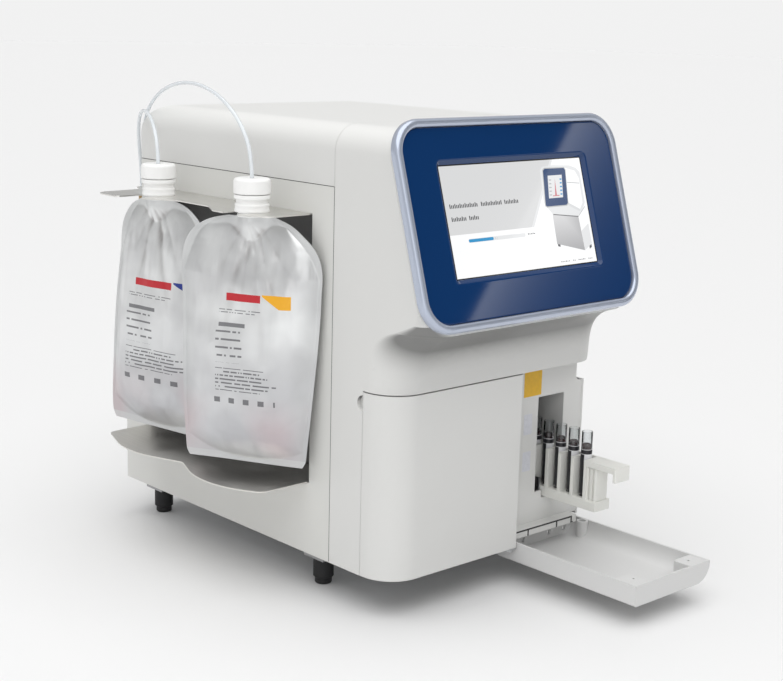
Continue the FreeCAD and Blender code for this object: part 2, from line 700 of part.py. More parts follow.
def sample_bay():
    """Recessed panel with the sample opening, hinge lugs, the flap door and its pin."""
    panel = new_body("sample_bay_panel")
    back = bay_depth + shell_wall
    low = rack_floor - 2
    add(panel, "XZ", bay_depth, back,
        rect(door_right - 15, housing_width - shell_wall - gap, sill, seam_height - gap))
    take(panel, "XZ", bay_depth - 1, back + 1,
         [(rack_x - opening_left, low + 9), (rack_x - rack_half - 2, low + 9), (rack_x - rack_half - 2, low),
          (rack_x + opening_right, low), (rack_x + opening_right, opening_top, 1.5),
          (rack_x - opening_left, opening_top, 1.5)])
    take(panel, "XZ", bay_depth - 1, back + 1,
         [(housing_width - 14, seam_height - 30, 6), (housing_width, seam_height - 30),
          (housing_width, seam_height + 1), (housing_width - 14, seam_height + 1)])
    add(panel, "XY", sill, seam_height - gap, rect(door_right + 0.4, bay_left - 0.3, 10, bay_depth + 1))
    tunnel = rack_x + opening_right
    add(panel, "XY", low, opening_top, rect(tunnel, tunnel + 2, bay_depth + 1, 95))
    add(panel, "YZ", bay_left + 3.6, housing_width - lug_three,
        [(10.5, 5), (12, 5), (12, sill + 0.6), (bay_depth + 0.5, sill + 0.6), (bay_depth + 0.5, sill + 2.4),
         (10.5, sill + 2.4, 1)])
    for x in lug_places:
        add(panel, "YZ", x - lug_half, x + lug_half,
            [(flap_pin_y - lug_reach, sill + 2), (flap_pin_y - lug_reach, flap_pin_z - lug_reach, 3.4),
             (flap_pin_y + lug_reach, flap_pin_z - lug_reach, 3.4), (flap_pin_y + lug_reach, sill + 2)])
    take(panel, "YZ", bay_left, housing_width, (flap_pin_y, flap_pin_z, pin_radius + running))
    node("sample_bay_panel", panel)

    rim = flap_wall - flap_drop
    floor = shell_wall - flap_drop
    right = housing_width
    flap = new_body("sample_door")
    add(flap, "XZ", -flap_reach, flap_near,
        [(bay_left, -flap_drop, 2), (right, -flap_drop, 22), (right, rim), (bay_left, rim)])
    take(flap, "XZ", -flap_reach + shell_wall, flap_near - shell_wall,
         [(bay_left + shell_wall, floor, 1), (right - shell_wall, floor, 19),
          (right - shell_wall, rim + 2), (bay_left + shell_wall, rim + 2)])
    far = -flap_reach + shell_wall - 0.5
    add(flap, "XY", floor - 1, rim - 0.4, rect(bay_left + shell_wall - 0.5, bay_left + 27, far, far + 30, 3))
    add(flap, "XY", -flap_drop + 9, rim - 0.4, rect(right - 34, right - shell_wall + 0.5, far, far + 24, 3))
    add(flap, "XY", floor - 0.5, rim, (right - 9, 8, 7))
    take(flap, "XY", floor, rim + 1, (right - 9, 8, 4.5))
    take(flap, "XY", rim - 8, rim, (bay_left + 18, far + 16, 1.6), (right - 20, far + 13, 1.6))
    ear = lug_half + gap * 2
    for x in lug_places:
        take(flap, "XY", -flap_drop + 8, rim + 1, rect(x - ear, x + ear, flap_near - 8, flap_near + 1))
        add(flap, "YZ", x - ear - 3, x - ear,
            [(flap_pin_y - 4, rim - 9), (flap_near - 1, rim - 9), (flap_near - 1, rim),
             (flap_pin_y + 4, flap_pin_z + 4, 3.5), (flap_pin_y - 4, flap_pin_z + 4, 3.5)])
    take(flap, "YZ", bay_left + 1, right - 8, (flap_pin_y, flap_pin_z, pin_radius + running))
    node("sample_door", flap)
    node("sample_door_pin", fuse(rod("x", lug_places[0] - 8, flap_pin_y, flap_pin_z,
                                     lug_places[2] - lug_places[0] + 11, pin_radius),
                                 rod("x", lug_places[2] + 2.4, flap_pin_y, flap_pin_z, 1.6,
                                     pin_radius + 1)))


rack_travel = size("rack_travel", 125, "rack's travel into the housing")
seat_rise = size("seat_rise", 6, "tube seat above the rack's underside")
fill_level = size("fill_level", 64, "top of a tube's contents")


def sample_rack():
    """Rack with a front handle, its guide and the tubes that stand in it."""
    last_y = first_tube_y + tube_pitch * (TUBES - 1)
    front = first_tube_y - 27.3
    rear = last_y + 12
    top = rack_floor + rack_tall
    left, right = rack_x - rack_half, rack_x + rack_half
    deck = rack_floor + rack_base
    rack = new_body("tube_rack")
    add(rack, "XZ", front, rear, [(left, rack_floor), (right, rack_floor), (right, deck), (left, deck, 2)])
    add(rack, "XY", deck - 1, top, rect(right - 3, right, first_tube_y - 12, rear))
    add(rack, "XY", deck - 1, top - 8, rect(left + 2, right - 2, front + 2, first_tube_y - 10, 1.5))
    for i in range(TUBES + 1):
        y = first_tube_y + tube_pitch * (i - 0.5)
        add(rack, "XY", deck - 1, top, rect(left, right - 2, y - 2.2, y + 2.2))
    add(rack, "XY", top - 7, top, rect(left, right, front - 28, first_tube_y - 9.6, 1.5))
    add(rack, "XY", top - 17, top - 5, rect(left, right, front - 28, front - 24, 1))
    for i in range(TUBES):
        take(rack, "XY", rack_floor + seat_rise, top + 1,
             (rack_x, first_tube_y + tube_pitch * i, tube_radius + gap))
    take(rack, "XY", deck, top - 9, rect(left, left + 4, front + 4.5, front + 7),
         rect(left, left + 4, front + 10.5, front + 13))
    node("tube_rack", rack)
    for i in range(TUBES):
        tube = new_body("sample_tube")
        inner = tube_radius - 1
        spin(tube, [(0, 0), (tube_radius, 0, 6), (tube_radius, tube_tall), (inner, tube_tall),
                    (inner, fill_level), (0, fill_level)])
        node(f"sample_tube_{i + 1}", tube, rack_x, first_tube_y + tube_pitch * i, rack_floor + seat_rise)
    guide = new_body("rack_guide")
    half = rack_half + 2.5
    low = rack_floor - gap - sheet_wall
    add(guide, "XZ", bay_depth + shell_wall + gap, rear + rack_travel + 4,
        [(rack_x - half, low), (rack_x + half, low), (rack_x + half, low + 24),
         (rack_x + half - sheet_wall, low + 24), (rack_x + half - sheet_wall, low + sheet_wall),
         (rack_x - half + sheet_wall, low + sheet_wall), (rack_x - half + sheet_wall, low + 24),
         (rack_x - half, low + 24)])
    for y in (70, 185):
        add(guide, "XY", tray_wall, low + 0.5, rect(rack_x - 12, rack_x + 12, y, y + 4))
    node("rack_guide", guide)


plate_sheet = size("plate_sheet", 1.5, "hanger plate and shelf sheet")
collar_tall = size("collar_tall", 9, "spout collar above the hanger")
cap_seat = size("cap_seat", 20, "underside of the cap above the hanger")
collar_radius = size("collar_radius", 19.4, "spout collar")
shelf_lobe_b = size("shelf_lobe_b", 36, "shelf lobe under the front pouch, past the straight edge")
shelf_lobe_a = size("shelf_lobe_a", 30, "shelf lobe under the rear pouch, past the straight edge")


def reagent_hardware():
    """Slotted hanger plate above the pouches and the lobed shelf below them."""
    deep = shell_wall + bay_inset - 2
    front, rear = bay_front + 2, bay_rear - 2
    half = slot_width / 2
    plate = new_body("hanger_plate")
    add(plate, "XY", bay_top - plate_sheet, bay_top,
        [(deep, front), (-58, front, 16), (-74, spout_b_y - half, 3), (-74, spout_b_y + half + 20, 10),
         (-56, spout_b_y + half + 52, 22), (-56, spout_a_y - half - 44, 22), (-78, spout_a_y - half - 6, 6),
         (-78, spout_a_y + half, 2), (-hanger_reach, spout_a_y + half, 6), (-hanger_reach, 428, 14),
         (-30, 432, 8), (-20, rear, 8), (deep, rear)])
    for y in (spout_a_y, spout_b_y):
        take(plate, "XY", bay_top - 3, bay_top + 1,
             [(spout_x - half, y - half), (spout_x + half, y - half, half - 0.5),
              (spout_x + half, y + half, half - 0.5), (spout_x - half, y + half)],
             )
        take(plate, "XY", bay_top - 3, bay_top + 1, rect(-hanger_reach - 2, spout_x - half + 0.5, y - half, y + half))
    node("hanger_plate", plate)
    shelf = new_body("bag_shelf")
    edge = -shelf_reach
    waist = (spout_a_y + spout_b_y) / 2 + 10
    add(shelf, "XY", bay_floor, bay_floor + plate_sheet,
        [(deep, front), (edge, front, 14), (edge - shelf_lobe_b, spout_b_y + 20.6, 120), (edge - 2, waist, 8),
         (edge - shelf_lobe_a, spout_a_y - 0.5, 120), (edge, rear - 5, 12), (deep, rear)])
    node("bag_shelf", shelf)


def lens(half_wide, half_thick, edge):
    """Section of a filled pouch: full in the middle and thin at the sealed edges."""
    bulge = half_wide * 0.5
    return [(-half_wide, -edge), (-bulge, -half_thick, 90), (bulge, -half_thick, 90), (half_wide, -edge),
            (half_wide, edge), (bulge, half_thick, 90), (-bulge, half_thick, 90), (-half_wide, edge)]


def reagents():
    """Two hanging pouches with spouts, caps, tubing and the rear fittings."""
    wide = pouch_width / 2
    full = pouch_full / 2
    top = bay_top - pouch_lift
    for name, y, turn in (("a", spout_a_y, pouch_turn_rear), ("b", spout_b_y, pouch_turn)):
        pouch = new_body("eluent_pouch")
        levels = [(0, 0.86, 0.5), (0.03, 0.9, 0.8), (0.1, 0.92, 0.96), (0.29, 0.95, 1), (0.52, 0.98, 0.97),
                  (0.71, 1, 0.78), (0.81, 1, 0.54), (0.88, 0.93, 0.36), (0.932, 0.82, 0.22), (0.975, 0.62, 0.13),
                  (1, 0.4, 0.09)]
        loft(pouch, [(pouch_tall * up, lens(wide * across, full * thick, full * min(thick, 0.05)))
                     for up, across, thick in levels], ruled=True)
        node(f"eluent_pouch_{name}", pouch, spout_x, y, top - pouch_tall, (0, 0, 1), turn + 90)
        spout = new_body("pouch_spout")
        seat = pouch_lift
        spin(spout, [(11, 0), (16.5, 0), (16.5, 2.6), (neck_radius, 3.4), (neck_radius, seat + 0.01),
                     (collar_radius, seat + 0.01), (collar_radius, seat + collar_tall, 1.5), (16, seat + collar_tall),
                     (16, seat + cap_seat - 5.6), (cap_radius - 0.6, seat + cap_seat - 5.6, 0.6),
                     (cap_radius - 0.6, seat + cap_seat - 0.7, 0.6), (neck_radius, seat + cap_seat - 0.7),
                     (neck_radius, seat + cap_seat + cap_tall - 4.5), (11, seat + cap_seat + cap_tall - 4.5)])
        node(f"pouch_spout_{name}", spout, spout_x, y, top)
        cap = new_body("pouch_cap")
        bore = line_radius + 0.5
        spin(cap, [(neck_radius + 0.35, 0), (cap_radius, 0, 0.6), (cap_radius, cap_tall, 2.2), (bore, cap_tall),
                   (bore, cap_tall - 3), (neck_radius + 0.35, cap_tall - 3)])
        node(f"pouch_cap_{name}", cap, spout_x, y, bay_top + cap_seat)


def cord(label, points):
    """Round tubing along straight runs joined by tangent arcs."""
    spots = [Vector(*[as_size(c).value for c in point]) for point in points]
    edges = []
    radii = []
    start = spots[0]
    for before, here, after in zip(spots, spots[1:], spots[2:]):
        back, ahead = (before - here), (after - here)
        shorter = min(back.Length, ahead.Length)
        trim = 0.45 * shorter
        back.normalize()
        ahead.normalize()
        half = back.getAngle(ahead) / 2
        radii.append(trim * math.tan(half))
        first, last = here + back * trim, here + ahead * trim
        centre = here + (back + ahead).normalize() * (trim / math.cos(half))
        middle_point = centre + (here - centre).normalize() * radii[-1]
        edges.append(Part.LineSegment(start, first).toShape())
        edges.append(Part.Arc(first, middle_point, last).toShape())
        start = last
    edges.append(Part.LineSegment(start, spots[-1]).toShape())
    path = Part.Wire(edges)
    along = (spots[1] - spots[0]).normalize()
    section = Part.Wire(Part.makeCircle(line_radius.value, spots[0], along))
    tube = doc.addObject("Part::Feature", "tubing")
    tube.Shape = path.makePipeShell([section], True, False)
    expected = math.pi * line_radius.value ** 2 * path.Length
    print(label, "smallest bend", round(min(radii), 1), "length", round(path.Length, 1),
          "volume", round(tube.Shape.Volume / expected, 4))
    node(label, tube)


def eluent_lines():
    """Tubing from the two caps over the housing to fittings on the rear ledge."""
    start = bay_top + cap_seat + cap_tall - 6
    top = ledge_height + 18
    y = fitting_y
    cord("eluent_line_b", [(spout_x, spout_b_y, start), (-44.8, 186.8, 450), (-42.4, 203, 477), (-37, 235, 500),
                           (-28, 282, 517), (-18, 338, 524), (-8.5, 392, 519), (-1, 436, 505), (6, 470, 483),
                           (10, 483, 460), (18, 489, 430), (line_b_x, y, 400), (line_b_x, y, top)])
    cord("eluent_line_a", [(spout_x, spout_a_y, start), (-45, 369.6, 443), (-39, 383, 463), (-26, 413, 479),
                           (-10, 452, 486), (0, 478, 477), (4, 487, 457), (8, 491, 433), (line_a_x, y, 403),
                           (line_a_x, y, top + 2)])
    fittings = []
    for x in (line_a_x, line_b_x):
        fitting = new_body("line_fitting")
        bore = line_radius + 0.4
        spin(fitting, [(bore, -10), (fitting_radius, -10), (fitting_radius, -gap), (8, -gap), (8, 3),
                       (6.5, 3), (6.5, 14, 1), (4, 16), (4, 24), (bore, 24)])
        place(fitting, x, y, ledge_height)
        fittings.append(fitting)
    plug = new_body("waste_outlet")
    spin(plug, [(2, -10), (fitting_radius, -10), (fitting_radius, -gap), (8, -gap), (8, 3), (3.4, 3),
                (3.4, 12), (4.2, 13), (3, 22), (2, 22)])
    place(plug, waste_x, y, ledge_height)
    node("line_fittings", group(*fittings, plug))


def fluidics():
    """Modules reached through the front door."""
    board = cut(box(12, 188, 60, 61.5, tray_wall, seam_height - 4.5), box(20, 60, 59, 63, 20, 60),
                rod("y", 165, 59, 70, 4, 8))
    node("fluidics_panel", board)
    oven = cut(box(20, 150, 26, 60, 120, 182), box(26, 144, 20, 50, 134, 168))
    node("column_oven", fuse(oven, box(20, 28, 24, 27, 122, 180)))
    column = fuse(rod("x", 30, 40, 142, 106, 5), rod("x", 34, 40, 142, 16, 8), rod("x", 116, 40, 142, 16, 8))
    node("separation_column", column)
    stator = cut(rod("y", 165, 38, 70, 22, 20), rod("y", 165, 37, 70, 12, 9 + running))
    ports = [rod("y", 165 + 14 * math.cos(math.radians(a)), 34, 70 + 14 * math.sin(math.radians(a)), 5, 3)
             for a in range(0, 360, 60)]
    node("injection_valve", fuse(stator, *ports))
    rotor = fuse(rod("y", 165, 28, 70, 20.9, as_size(9)), box(162.5, 167.5, 25, 29, 62, 78))
    node("valve_rotor", rotor)
    clamp = cut(box(60, 88, 40, 60, 60, 110), rod("z", 74, 50, 59, 52, 8 + running))
    node("syringe_clamp", clamp)
    glass = cut(rod("z", 74, 50, 58, 56, 8), rod("z", 74, 50, 57, 52, 5.5 + running))
    node("syringe_barrel", glass)
    plunger = fuse(rod("z", 74, 50, 61, 40, as_size(5.5)), rod("z", 74, 50, 38, 24, 2.5), rod("z", 74, 50, 34, 4, 7))
    node("syringe_plunger", plunger)


def service_modules():
    """Pump, detector, power supply, board, fan, connectors and the sampling needle."""
    pump = fuse(box(60, 150, 75, 175, tray_wall, 90), box(54, 156, 80, 170, tray_wall, 8),
                rod("z", 84, 105, 90, 8, 14), rod("z", 126, 105, 90, 8, 14))
    node("pump_module", pump)
    node("detector", fuse(box(60, 150, 190, 250, tray_wall, 70), box(66, 144, 196, 244, 70, 74),
                          rod("y", 105, 182, 40, 9, 12)))
    node("power_supply", fuse(box(170, housing_width - 18, 320, 462, tray_wall, 62), box(190, 230, 340, 380, 62, 66),
                              rod("z", 280, 400, 62, 4, 20)))
    wall = housing_width - shell_wall
    chips = [box(wall - 14, wall - 10, 130 + 42 * i, 152 + 42 * i, 300, 322) for i in range(4)]
    posts = [rod("x", wall - 10, yy, zz, 10, 3.5) for yy in (128, 292) for zz in (212, 392)]
    sockets = [box(wall - 20, wall - 10, 130 + 50 * i, 165 + 50 * i, 210, 220) for i in range(3)]
    node("main_board", fuse(box(wall - 10, wall - 8, 120, 300, 205, 400), *chips, *posts, *sockets))
    back = housing_depth - sheet_wall - gap
    frame = cut(box(fan_x - fan_half, fan_x + fan_half, back - fan_depth, back, fan_z - fan_half, fan_z + fan_half),
                rod("y", fan_x, back - fan_depth - 1, fan_z, fan_depth + 2, fan_bore))
    struts = [box(fan_x - 1.5, fan_x + 1.5, back - 4, back, fan_z - fan_bore - 1, fan_z + fan_bore + 1),
              box(fan_x - fan_bore - 1, fan_x + fan_bore + 1, back - 4, back, fan_z - 1.5, fan_z + 1.5)]
    hub = rod("y", fan_x, back - 4, fan_z, 4, 14)
    spindle = rod("y", fan_x, back - 20, fan_z, 18, 2.5)
    node("fan_frame", fuse(frame, *struts, hub, spindle))
    rotor = new_body("fan_rotor")
    add(rotor, "XY", 0, 15, (0, 0, 15))
    for i in range(7):
        a = math.radians(i * 360 / 7)
        corners = []
        for r, t in ((12, -0.16), (34, -0.24), (34, 0.24), (12, 0.16)):
            corners.append((r * math.cos(a + t), r * math.sin(a + t)))
        add(rotor, "XY", 5, 7.5, corners)
    take(rotor, "XY", -1, 16, (0, 0, 2.5 + running))
    node("fan_rotor", rotor, fan_x, back - 4.5, fan_z, (1, 0, 0), 90)
    inlet = new_body("power_inlet")
    rear = housing_depth
    add(inlet, "XZ", rear - 24, rear,
        rect(inlet_x - inlet_half_x + 0.2, inlet_x + inlet_half_x - 0.2,
             inlet_z - inlet_half_z + 0.2, inlet_z + inlet_half_z - 0.2))
    add(inlet, "XZ", rear, rear + rear_lip,
        rect(inlet_x - inlet_half_x - 4, inlet_x + inlet_half_x + 4,
             inlet_z - inlet_half_z - 4, inlet_z + inlet_half_z + 4, 3))
    take(inlet, "XZ", rear - 16, rear + 3,
         [(inlet_x - 11.5, inlet_z - 30), (inlet_x + 11.5, inlet_z - 30), (inlet_x + 11.5, inlet_z - 13),
          (inlet_x + 8, inlet_z - 9.5), (inlet_x - 8, inlet_z - 9.5), (inlet_x - 11.5, inlet_z - 13)])
    take(inlet, "XZ", rear - 9, rear + 3, rect(inlet_x - 10, inlet_x + 10, inlet_z + 8, inlet_z + 28))
    for x, z in ((-7, -22), (7, -22), (0, -17)):
        add(inlet, "XZ", rear - 17, rear - 4, rect(inlet_x + x - 1, inlet_x + x + 1, inlet_z + z - 2, inlet_z + z + 2))
    take(inlet, "YZ", inlet_x - 12, inlet_x + 12, (rear - 1.5, inlet_z + 18, 1.5 + running))
    node("power_inlet", inlet)
    key = new_body("power_rocker")
    add(key, "YZ", -9, 9, [(-5, -8.5), (1.6, -8.5), (-0.4, 0), (2.6, 8.5), (-3, 8.5), (-5, 4)])
    add(key, "YZ", -11.6, 11.6, (0, 0, 1.5))
    node("power_rocker", key, inlet_x, rear - 1.5, inlet_z + 18)
    ports = new_body("data_ports")
    add(ports, "XZ", rear - 18, rear, rect(port_x - 29.7, port_x + 29.7, port_z - 9.7, port_z + 9.7))
    take(ports, "XZ", rear - 14, rear + 1, rect(port_x - 26, port_x - 12, port_z - 6, port_z + 6),
         rect(port_x - 6, port_x + 8, port_z - 6, port_z + 6), rect(port_x + 13, port_x + 26, port_z - 7, port_z - 2),
         rect(port_x + 13, port_x + 26, port_z + 2, port_z + 7))
    add(ports, "XZ", rear - 22, rear - 17.5, rect(port_x - 34, port_x + 34, port_z - 13, port_z + 13))
    node("data_ports", ports)
    rail = fuse(box(rack_x - 7, rack_x + 7, 224, 232, tray_wall, 200),
                box(rack_x - 13, rack_x + 13, 204, 236, tray_wall, 6),
                rod("z", rack_x, 213, 4, 40, 9))
    node("needle_guide", cut(rail, rod("z", rack_x, 213, 10, 40, 4), box(rack_x - 1.5, rack_x + 1.5, 223, 227, 70, 195)))
    arm = fuse(box(rack_x - 9, rack_x + 9, 206, 223.7, 150, 172), box(rack_x - 1, rack_x + 1, 222, 226.4, 152, 170),
               rod("z", rack_x, 213, 64, 90, 1.2), rod("z", rack_x, 213, 172, 14, 3.5))
    node("needle_carriage", arm)


def hardware():
    """Round-headed screws on the right panel and on the rear sheet."""
    heads = [rod("x", housing_width, y, z, 1.4, 3.6)
             for y in (side_seam + 16, housing_depth - 15) for z in (20, ledge_height - 20)]
    heads += [rod("y", x, housing_depth, z, 1.4, 3.6)
              for x in (14, housing_width - 14) for z in (14, ledge_height - 25)]
    heads += [rod("y", x, upper_depth, z, 1.4, 3.6)
              for x in (14, housing_width - 14) for z in (ledge_height + 20, side_height - 12)]
    node("panel_screws", group(*heads))


def build():
    """Make every piece, check it and write one file for each."""
    base()
    side_panels()
    rear_panel()
    top_cover()
    front_frame()
    front_door()
    bezel()
    sample_bay()
    sample_rack()
    reagent_hardware()
    reagents()
    eluent_lines()
    fluidics()
    service_modules()
    hardware()
    doc.recompute()
    for thing in doc.Objects:
        if "Invalid" in thing.State or "Error" in thing.State:
            raise RuntimeError(f"{thing.Label} does not compute")
    os.makedirs("parts", exist_ok=True)
    for thing in NODES:
        shape = thing.Shape
        if shape.isNull() or not shape.isValid() or not shape.Solids:
            raise RuntimeError(f"{thing.Label} has no valid solid")
        shape.exportStep(f"parts/{thing.Label}.step")
    print(len(NODES), "pieces")


build()
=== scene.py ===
"""Looks of the glycohemoglobin analyzer, laid out as an add-on with one operator for each group of pieces."""

import math

import bpy
from mathutils import Matrix, Vector, noise


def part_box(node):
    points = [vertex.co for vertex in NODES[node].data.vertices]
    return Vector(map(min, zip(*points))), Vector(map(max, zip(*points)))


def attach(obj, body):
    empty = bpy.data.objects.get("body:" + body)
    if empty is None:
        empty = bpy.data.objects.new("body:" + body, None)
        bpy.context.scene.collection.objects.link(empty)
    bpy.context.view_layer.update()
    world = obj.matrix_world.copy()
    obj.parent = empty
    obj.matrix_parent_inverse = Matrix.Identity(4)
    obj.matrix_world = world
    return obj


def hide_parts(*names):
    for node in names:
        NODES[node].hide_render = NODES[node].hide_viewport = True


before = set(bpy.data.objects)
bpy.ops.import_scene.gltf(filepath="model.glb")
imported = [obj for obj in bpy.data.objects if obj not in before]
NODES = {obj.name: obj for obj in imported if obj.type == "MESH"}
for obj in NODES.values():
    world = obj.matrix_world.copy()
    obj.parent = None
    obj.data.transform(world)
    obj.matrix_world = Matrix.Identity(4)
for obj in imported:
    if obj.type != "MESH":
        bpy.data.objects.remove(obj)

bl_info = {
    "name": "Analyzer looks",
    "version": (1, 0, 0),
    "blender": (4, 5, 0),
    "location": "View3D > Sidebar > Analyzer",
    "description": "Builds the visible surfaces and materials of a benchtop analyzer",
    "category": "Object",
}

ORIGIN = Vector((124.0, 170.7, -45.0))
TILT = math.radians(16.8)
WIDE = 338.0
SCREEN = Vector((169.0, -34.0, 337.0))
RING_HALF, RING_LOW, RING_HIGH, RING_ROUND = 173, -56, 170, 38
DISPLAY_HALF, DISPLAY_TALL = 111.5, 119.4
SPOUTS = {"a": (-45.0, 368.5, 9.0), "b": (-45.0, 185.4, 28.0)}


def row(point):
    """A point in housing millimetres as metres in the row frame."""
    return (Vector(point) - ORIGIN) * 0.001


def lean(u, v, n):
    """A point on the tilted display plane, n in front of it."""
    c, s = math.cos(TILT), math.sin(TILT)
    return SCREEN + Vector((u, v * s - n * c, v * c + n * s))


def clamp(value):
    """A value held between 0 and 1."""
    return max(0.0, min(1.0, value))


def dim(color, share):
    """A colour times a share."""
    return [c * share for c in color]


# Node helpers

def opaque(value):
    """A colour with full alpha; a socket stays as it is."""
    return value if isinstance(value, bpy.types.NodeSocket) else (*value[:3], 1.0)


class Shader:
    """A small builder for the nodes of a material or a world."""

    NAMES = {"color": "Base Color", "rough": "Roughness", "metal": "Metallic", "normal": "Normal",
             "coat": "Coat Weight", "coat_rough": "Coat Roughness", "glow": "Emission Color",
             "power": "Emission Strength", "through": "Transmission Weight", "index": "IOR",
             "soft": "Subsurface Weight", "sheen": "Specular IOR Level"}

    def __init__(self, name, owner=None):
        self.mat = owner or bpy.data.materials.new(name)
        self.mat.use_nodes = True
        self.tree = self.mat.node_tree
        self.main = self.tree.nodes.get("Principled BSDF")

    def put(self, item, key, value):
        if isinstance(value, bpy.types.NodeSocket):
            self.tree.links.new(value, item.inputs[key])
        else:
            item.inputs[key].default_value = value

    def add(self, kind, inputs=None, **settings):
        """A new node with its settings, and its inputs by name or index."""
        item = self.tree.nodes.new(f"ShaderNode{kind}")
        for key, value in settings.items():
            setattr(item, key, value)
        for key, value in (inputs or {}).items():
            self.put(item, key, value)
        return item

    def math(self, operation, a, b=0.0, c=0.0):
        return self.add("Math", {0: a, 1: b, 2: c}, operation=operation).outputs[0]

    def chain(self, operation, first, *others):
        """One operation over any number of masks."""
        for other in others:
            first = self.math(operation, first, other)
        return first

    def between(self, value, low, high):
        return self.math("MULTIPLY", self.math("GREATER_THAN", value, low), self.math("LESS_THAN", value, high))

    def coords(self, scale=(1, 1, 1), source="Object"):
        place = self.add("TexCoord").outputs[source]
        return self.add("Mapping", {"Vector": place, "Scale": scale}).outputs[0]

    def split(self, vector):
        return self.add("SeparateXYZ", {0: vector}).outputs

    def attribute(self, name):
        return self.add("Attribute", attribute_name=name).outputs["Fac"]

    def noise(self, vector, scale, detail=3.0, rough=0.5):
        inputs = {"Vector": vector, "Scale": scale, "Detail": detail, "Roughness": rough}
        return self.add("TexNoise", inputs).outputs["Fac"]

    def span(self, value, low, high, to_low=0.0, to_high=1.0):
        inputs = {"Value": value, "From Min": low, "From Max": high, "To Min": to_low, "To Max": to_high}
        return self.add("MapRange", inputs).outputs[0]

    def mix(self, amount, a, b):
        return self.add("Mix", {0: amount, 6: opaque(a), 7: opaque(b)}, data_type="RGBA").outputs[2]

    def bump(self, height, strength, distance=0.001, under=None):
        inputs = {"Height": height, "Strength": strength, "Distance": distance}
        if under is not None:
            inputs["Normal"] = under
        return self.add("Bump", inputs).outputs[0]

    def rounded(self, radius, samples=6):
        """Softened edges for the shading of a hard-edged piece."""
        return self.add("Bevel", {"Radius": radius}, samples=samples).outputs[0]

    def set(self, **inputs):
        for key, value in inputs.items():
            self.put(self.main, self.NAMES[key], opaque(value) if key in ("color", "glow") else value)
        return self.mat


CACHE = {}


def cached(function):
    """Make each material once."""
    def get(name, *args, **kwargs):
        if name not in CACHE:
            CACHE[name] = function(name, *args, **kwargs)
        return CACHE[name]
    return get


@cached
def paint(name, color, rough=0.42, grain=900.0, bump=0.10, edge=0.0012, coat=0.0, under=0.9, over=1.0):
    """Powder-coated or spark-eroded surface with a faint drift, with painted shade on faces that point down (under) and
    painted light on faces that point up (over).
    """
    s = Shader(name)
    where = s.coords()
    drift = s.noise(where, 7.0, 2.0)
    fine = s.noise(where, grain, 2.0, 0.6)
    up = s.split(s.coords(source="Normal"))[2]
    tone = s.mix(s.span(drift, 0.3, 0.7), dim(color, 0.985), color)
    # painted shade: faces that point down darken towards the colour times under
    tone = s.mix(s.span(up, -0.55, -0.02), dim(color, under), tone)
    # painted light: faces that point up brighten to the colour times over, held at most 0.86
    tone = s.mix(s.span(up, 0.1, 0.9), tone, [min(c, 0.86) for c in dim(color, over)])
    return s.set(color=tone, rough=s.span(fine, 0.3, 0.7, rough - 0.05, rough + 0.07),
                 normal=s.bump(fine, bump, 0.0004, s.rounded(edge)), coat=coat, coat_rough=0.25)


@cached
def metal(name, color, axis=0, rough=0.3, edge=0.0006):
    """Brushed sheet: fine lines along one axis."""
    s = Shader(name)
    scale = [900.0, 900.0, 900.0]
    scale[axis] = 12.0
    lines = s.noise(s.coords(scale), 1.0, 3.0, 0.65)
    drift = s.noise(s.coords(), 16.0, 3.0)
    return s.set(color=s.mix(s.span(lines, 0.3, 0.7), dim(color, 0.92), color), metal=1.0,
                 rough=s.span(drift, 0.3, 0.7, rough - 0.05, rough + 0.07),
                 normal=s.bump(lines, 0.05, 0.0002, s.rounded(edge, 4)))


@cached
def plain(name, color, rough=0.5, metal_share=0.0, coat=0.0, edge=0.0):
    """Simple moulding or part deep in the housing."""
    s = Shader(name)
    fine = s.noise(s.coords(), 220.0, 3.0)
    return s.set(color=s.mix(s.span(fine, 0.3, 0.7), dim(color, 0.9), color), rough=rough, metal=metal_share,
                 coat=coat, coat_rough=0.1,
                 normal=s.bump(fine, 0.06, 0.0003, s.rounded(edge, 4) if edge else None))


@cached
def pearl(name, color):
    """Pearl lacquer with fine flakes under a clear coat."""
    s = Shader(name)
    flake = s.noise(s.coords(), 2600.0, 1.0, 0.5)
    return s.set(color=s.mix(s.span(flake, 0.35, 0.65), dim(color, 0.93), color), metal=0.55, rough=0.24,
                 coat=0.5, coat_rough=0.06, normal=s.bump(flake, 0.05, 0.0002))


@cached
def clear(name, color, rough=0.03):
    """Clear glass or plastic."""
    s = Shader(name)
    haze = s.noise(s.coords(), 140.0, 2.0)
    return s.set(color=color, rough=s.span(haze, 0.3, 0.7, rough, rough + 0.03), through=1.0, index=1.45)


def lit(s, color, power):
    """Lit display colour under glossy glass."""
    return s.set(color=(0.02, 0.02, 0.02), rough=0.12, glow=color, power=power, coat=0.4, coat_rough=0.03)


# Mesh helpers

def mount(name, data, body="housing", stands=()):
    """Mesh or curve data as an object that rides on a body."""
    thing = bpy.data.objects.new(name, data)
    bpy.context.scene.collection.objects.link(thing)
    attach(thing, body)
    if stands:
        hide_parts(*stands)
    return thing


def piece(name, shape, material, body="housing", stands=(), smooth=35.0, uv=None,
          face_materials=None):
    """A mesh from (verts, faces) in housing millimetres that rides on a body."""
    verts, faces = shape
    mesh = bpy.data.meshes.new(name)
    mesh.from_pydata([row(v) for v in verts], [], faces)
    for item in material if isinstance(material, list) else [material]:
        mesh.materials.append(item)
    if face_materials:
        mesh.polygons.foreach_set("material_index", face_materials)
    mesh.shade_smooth()
    mesh.set_sharp_from_angle(angle=math.radians(smooth))
    if uv:
        layer = mesh.uv_layers.new(name="UVMap")
        for loop in mesh.loops:
            layer.data[loop.index].uv = uv[loop.vertex_index]
    mesh.validate()
    return mount(name, mesh, body, stands)


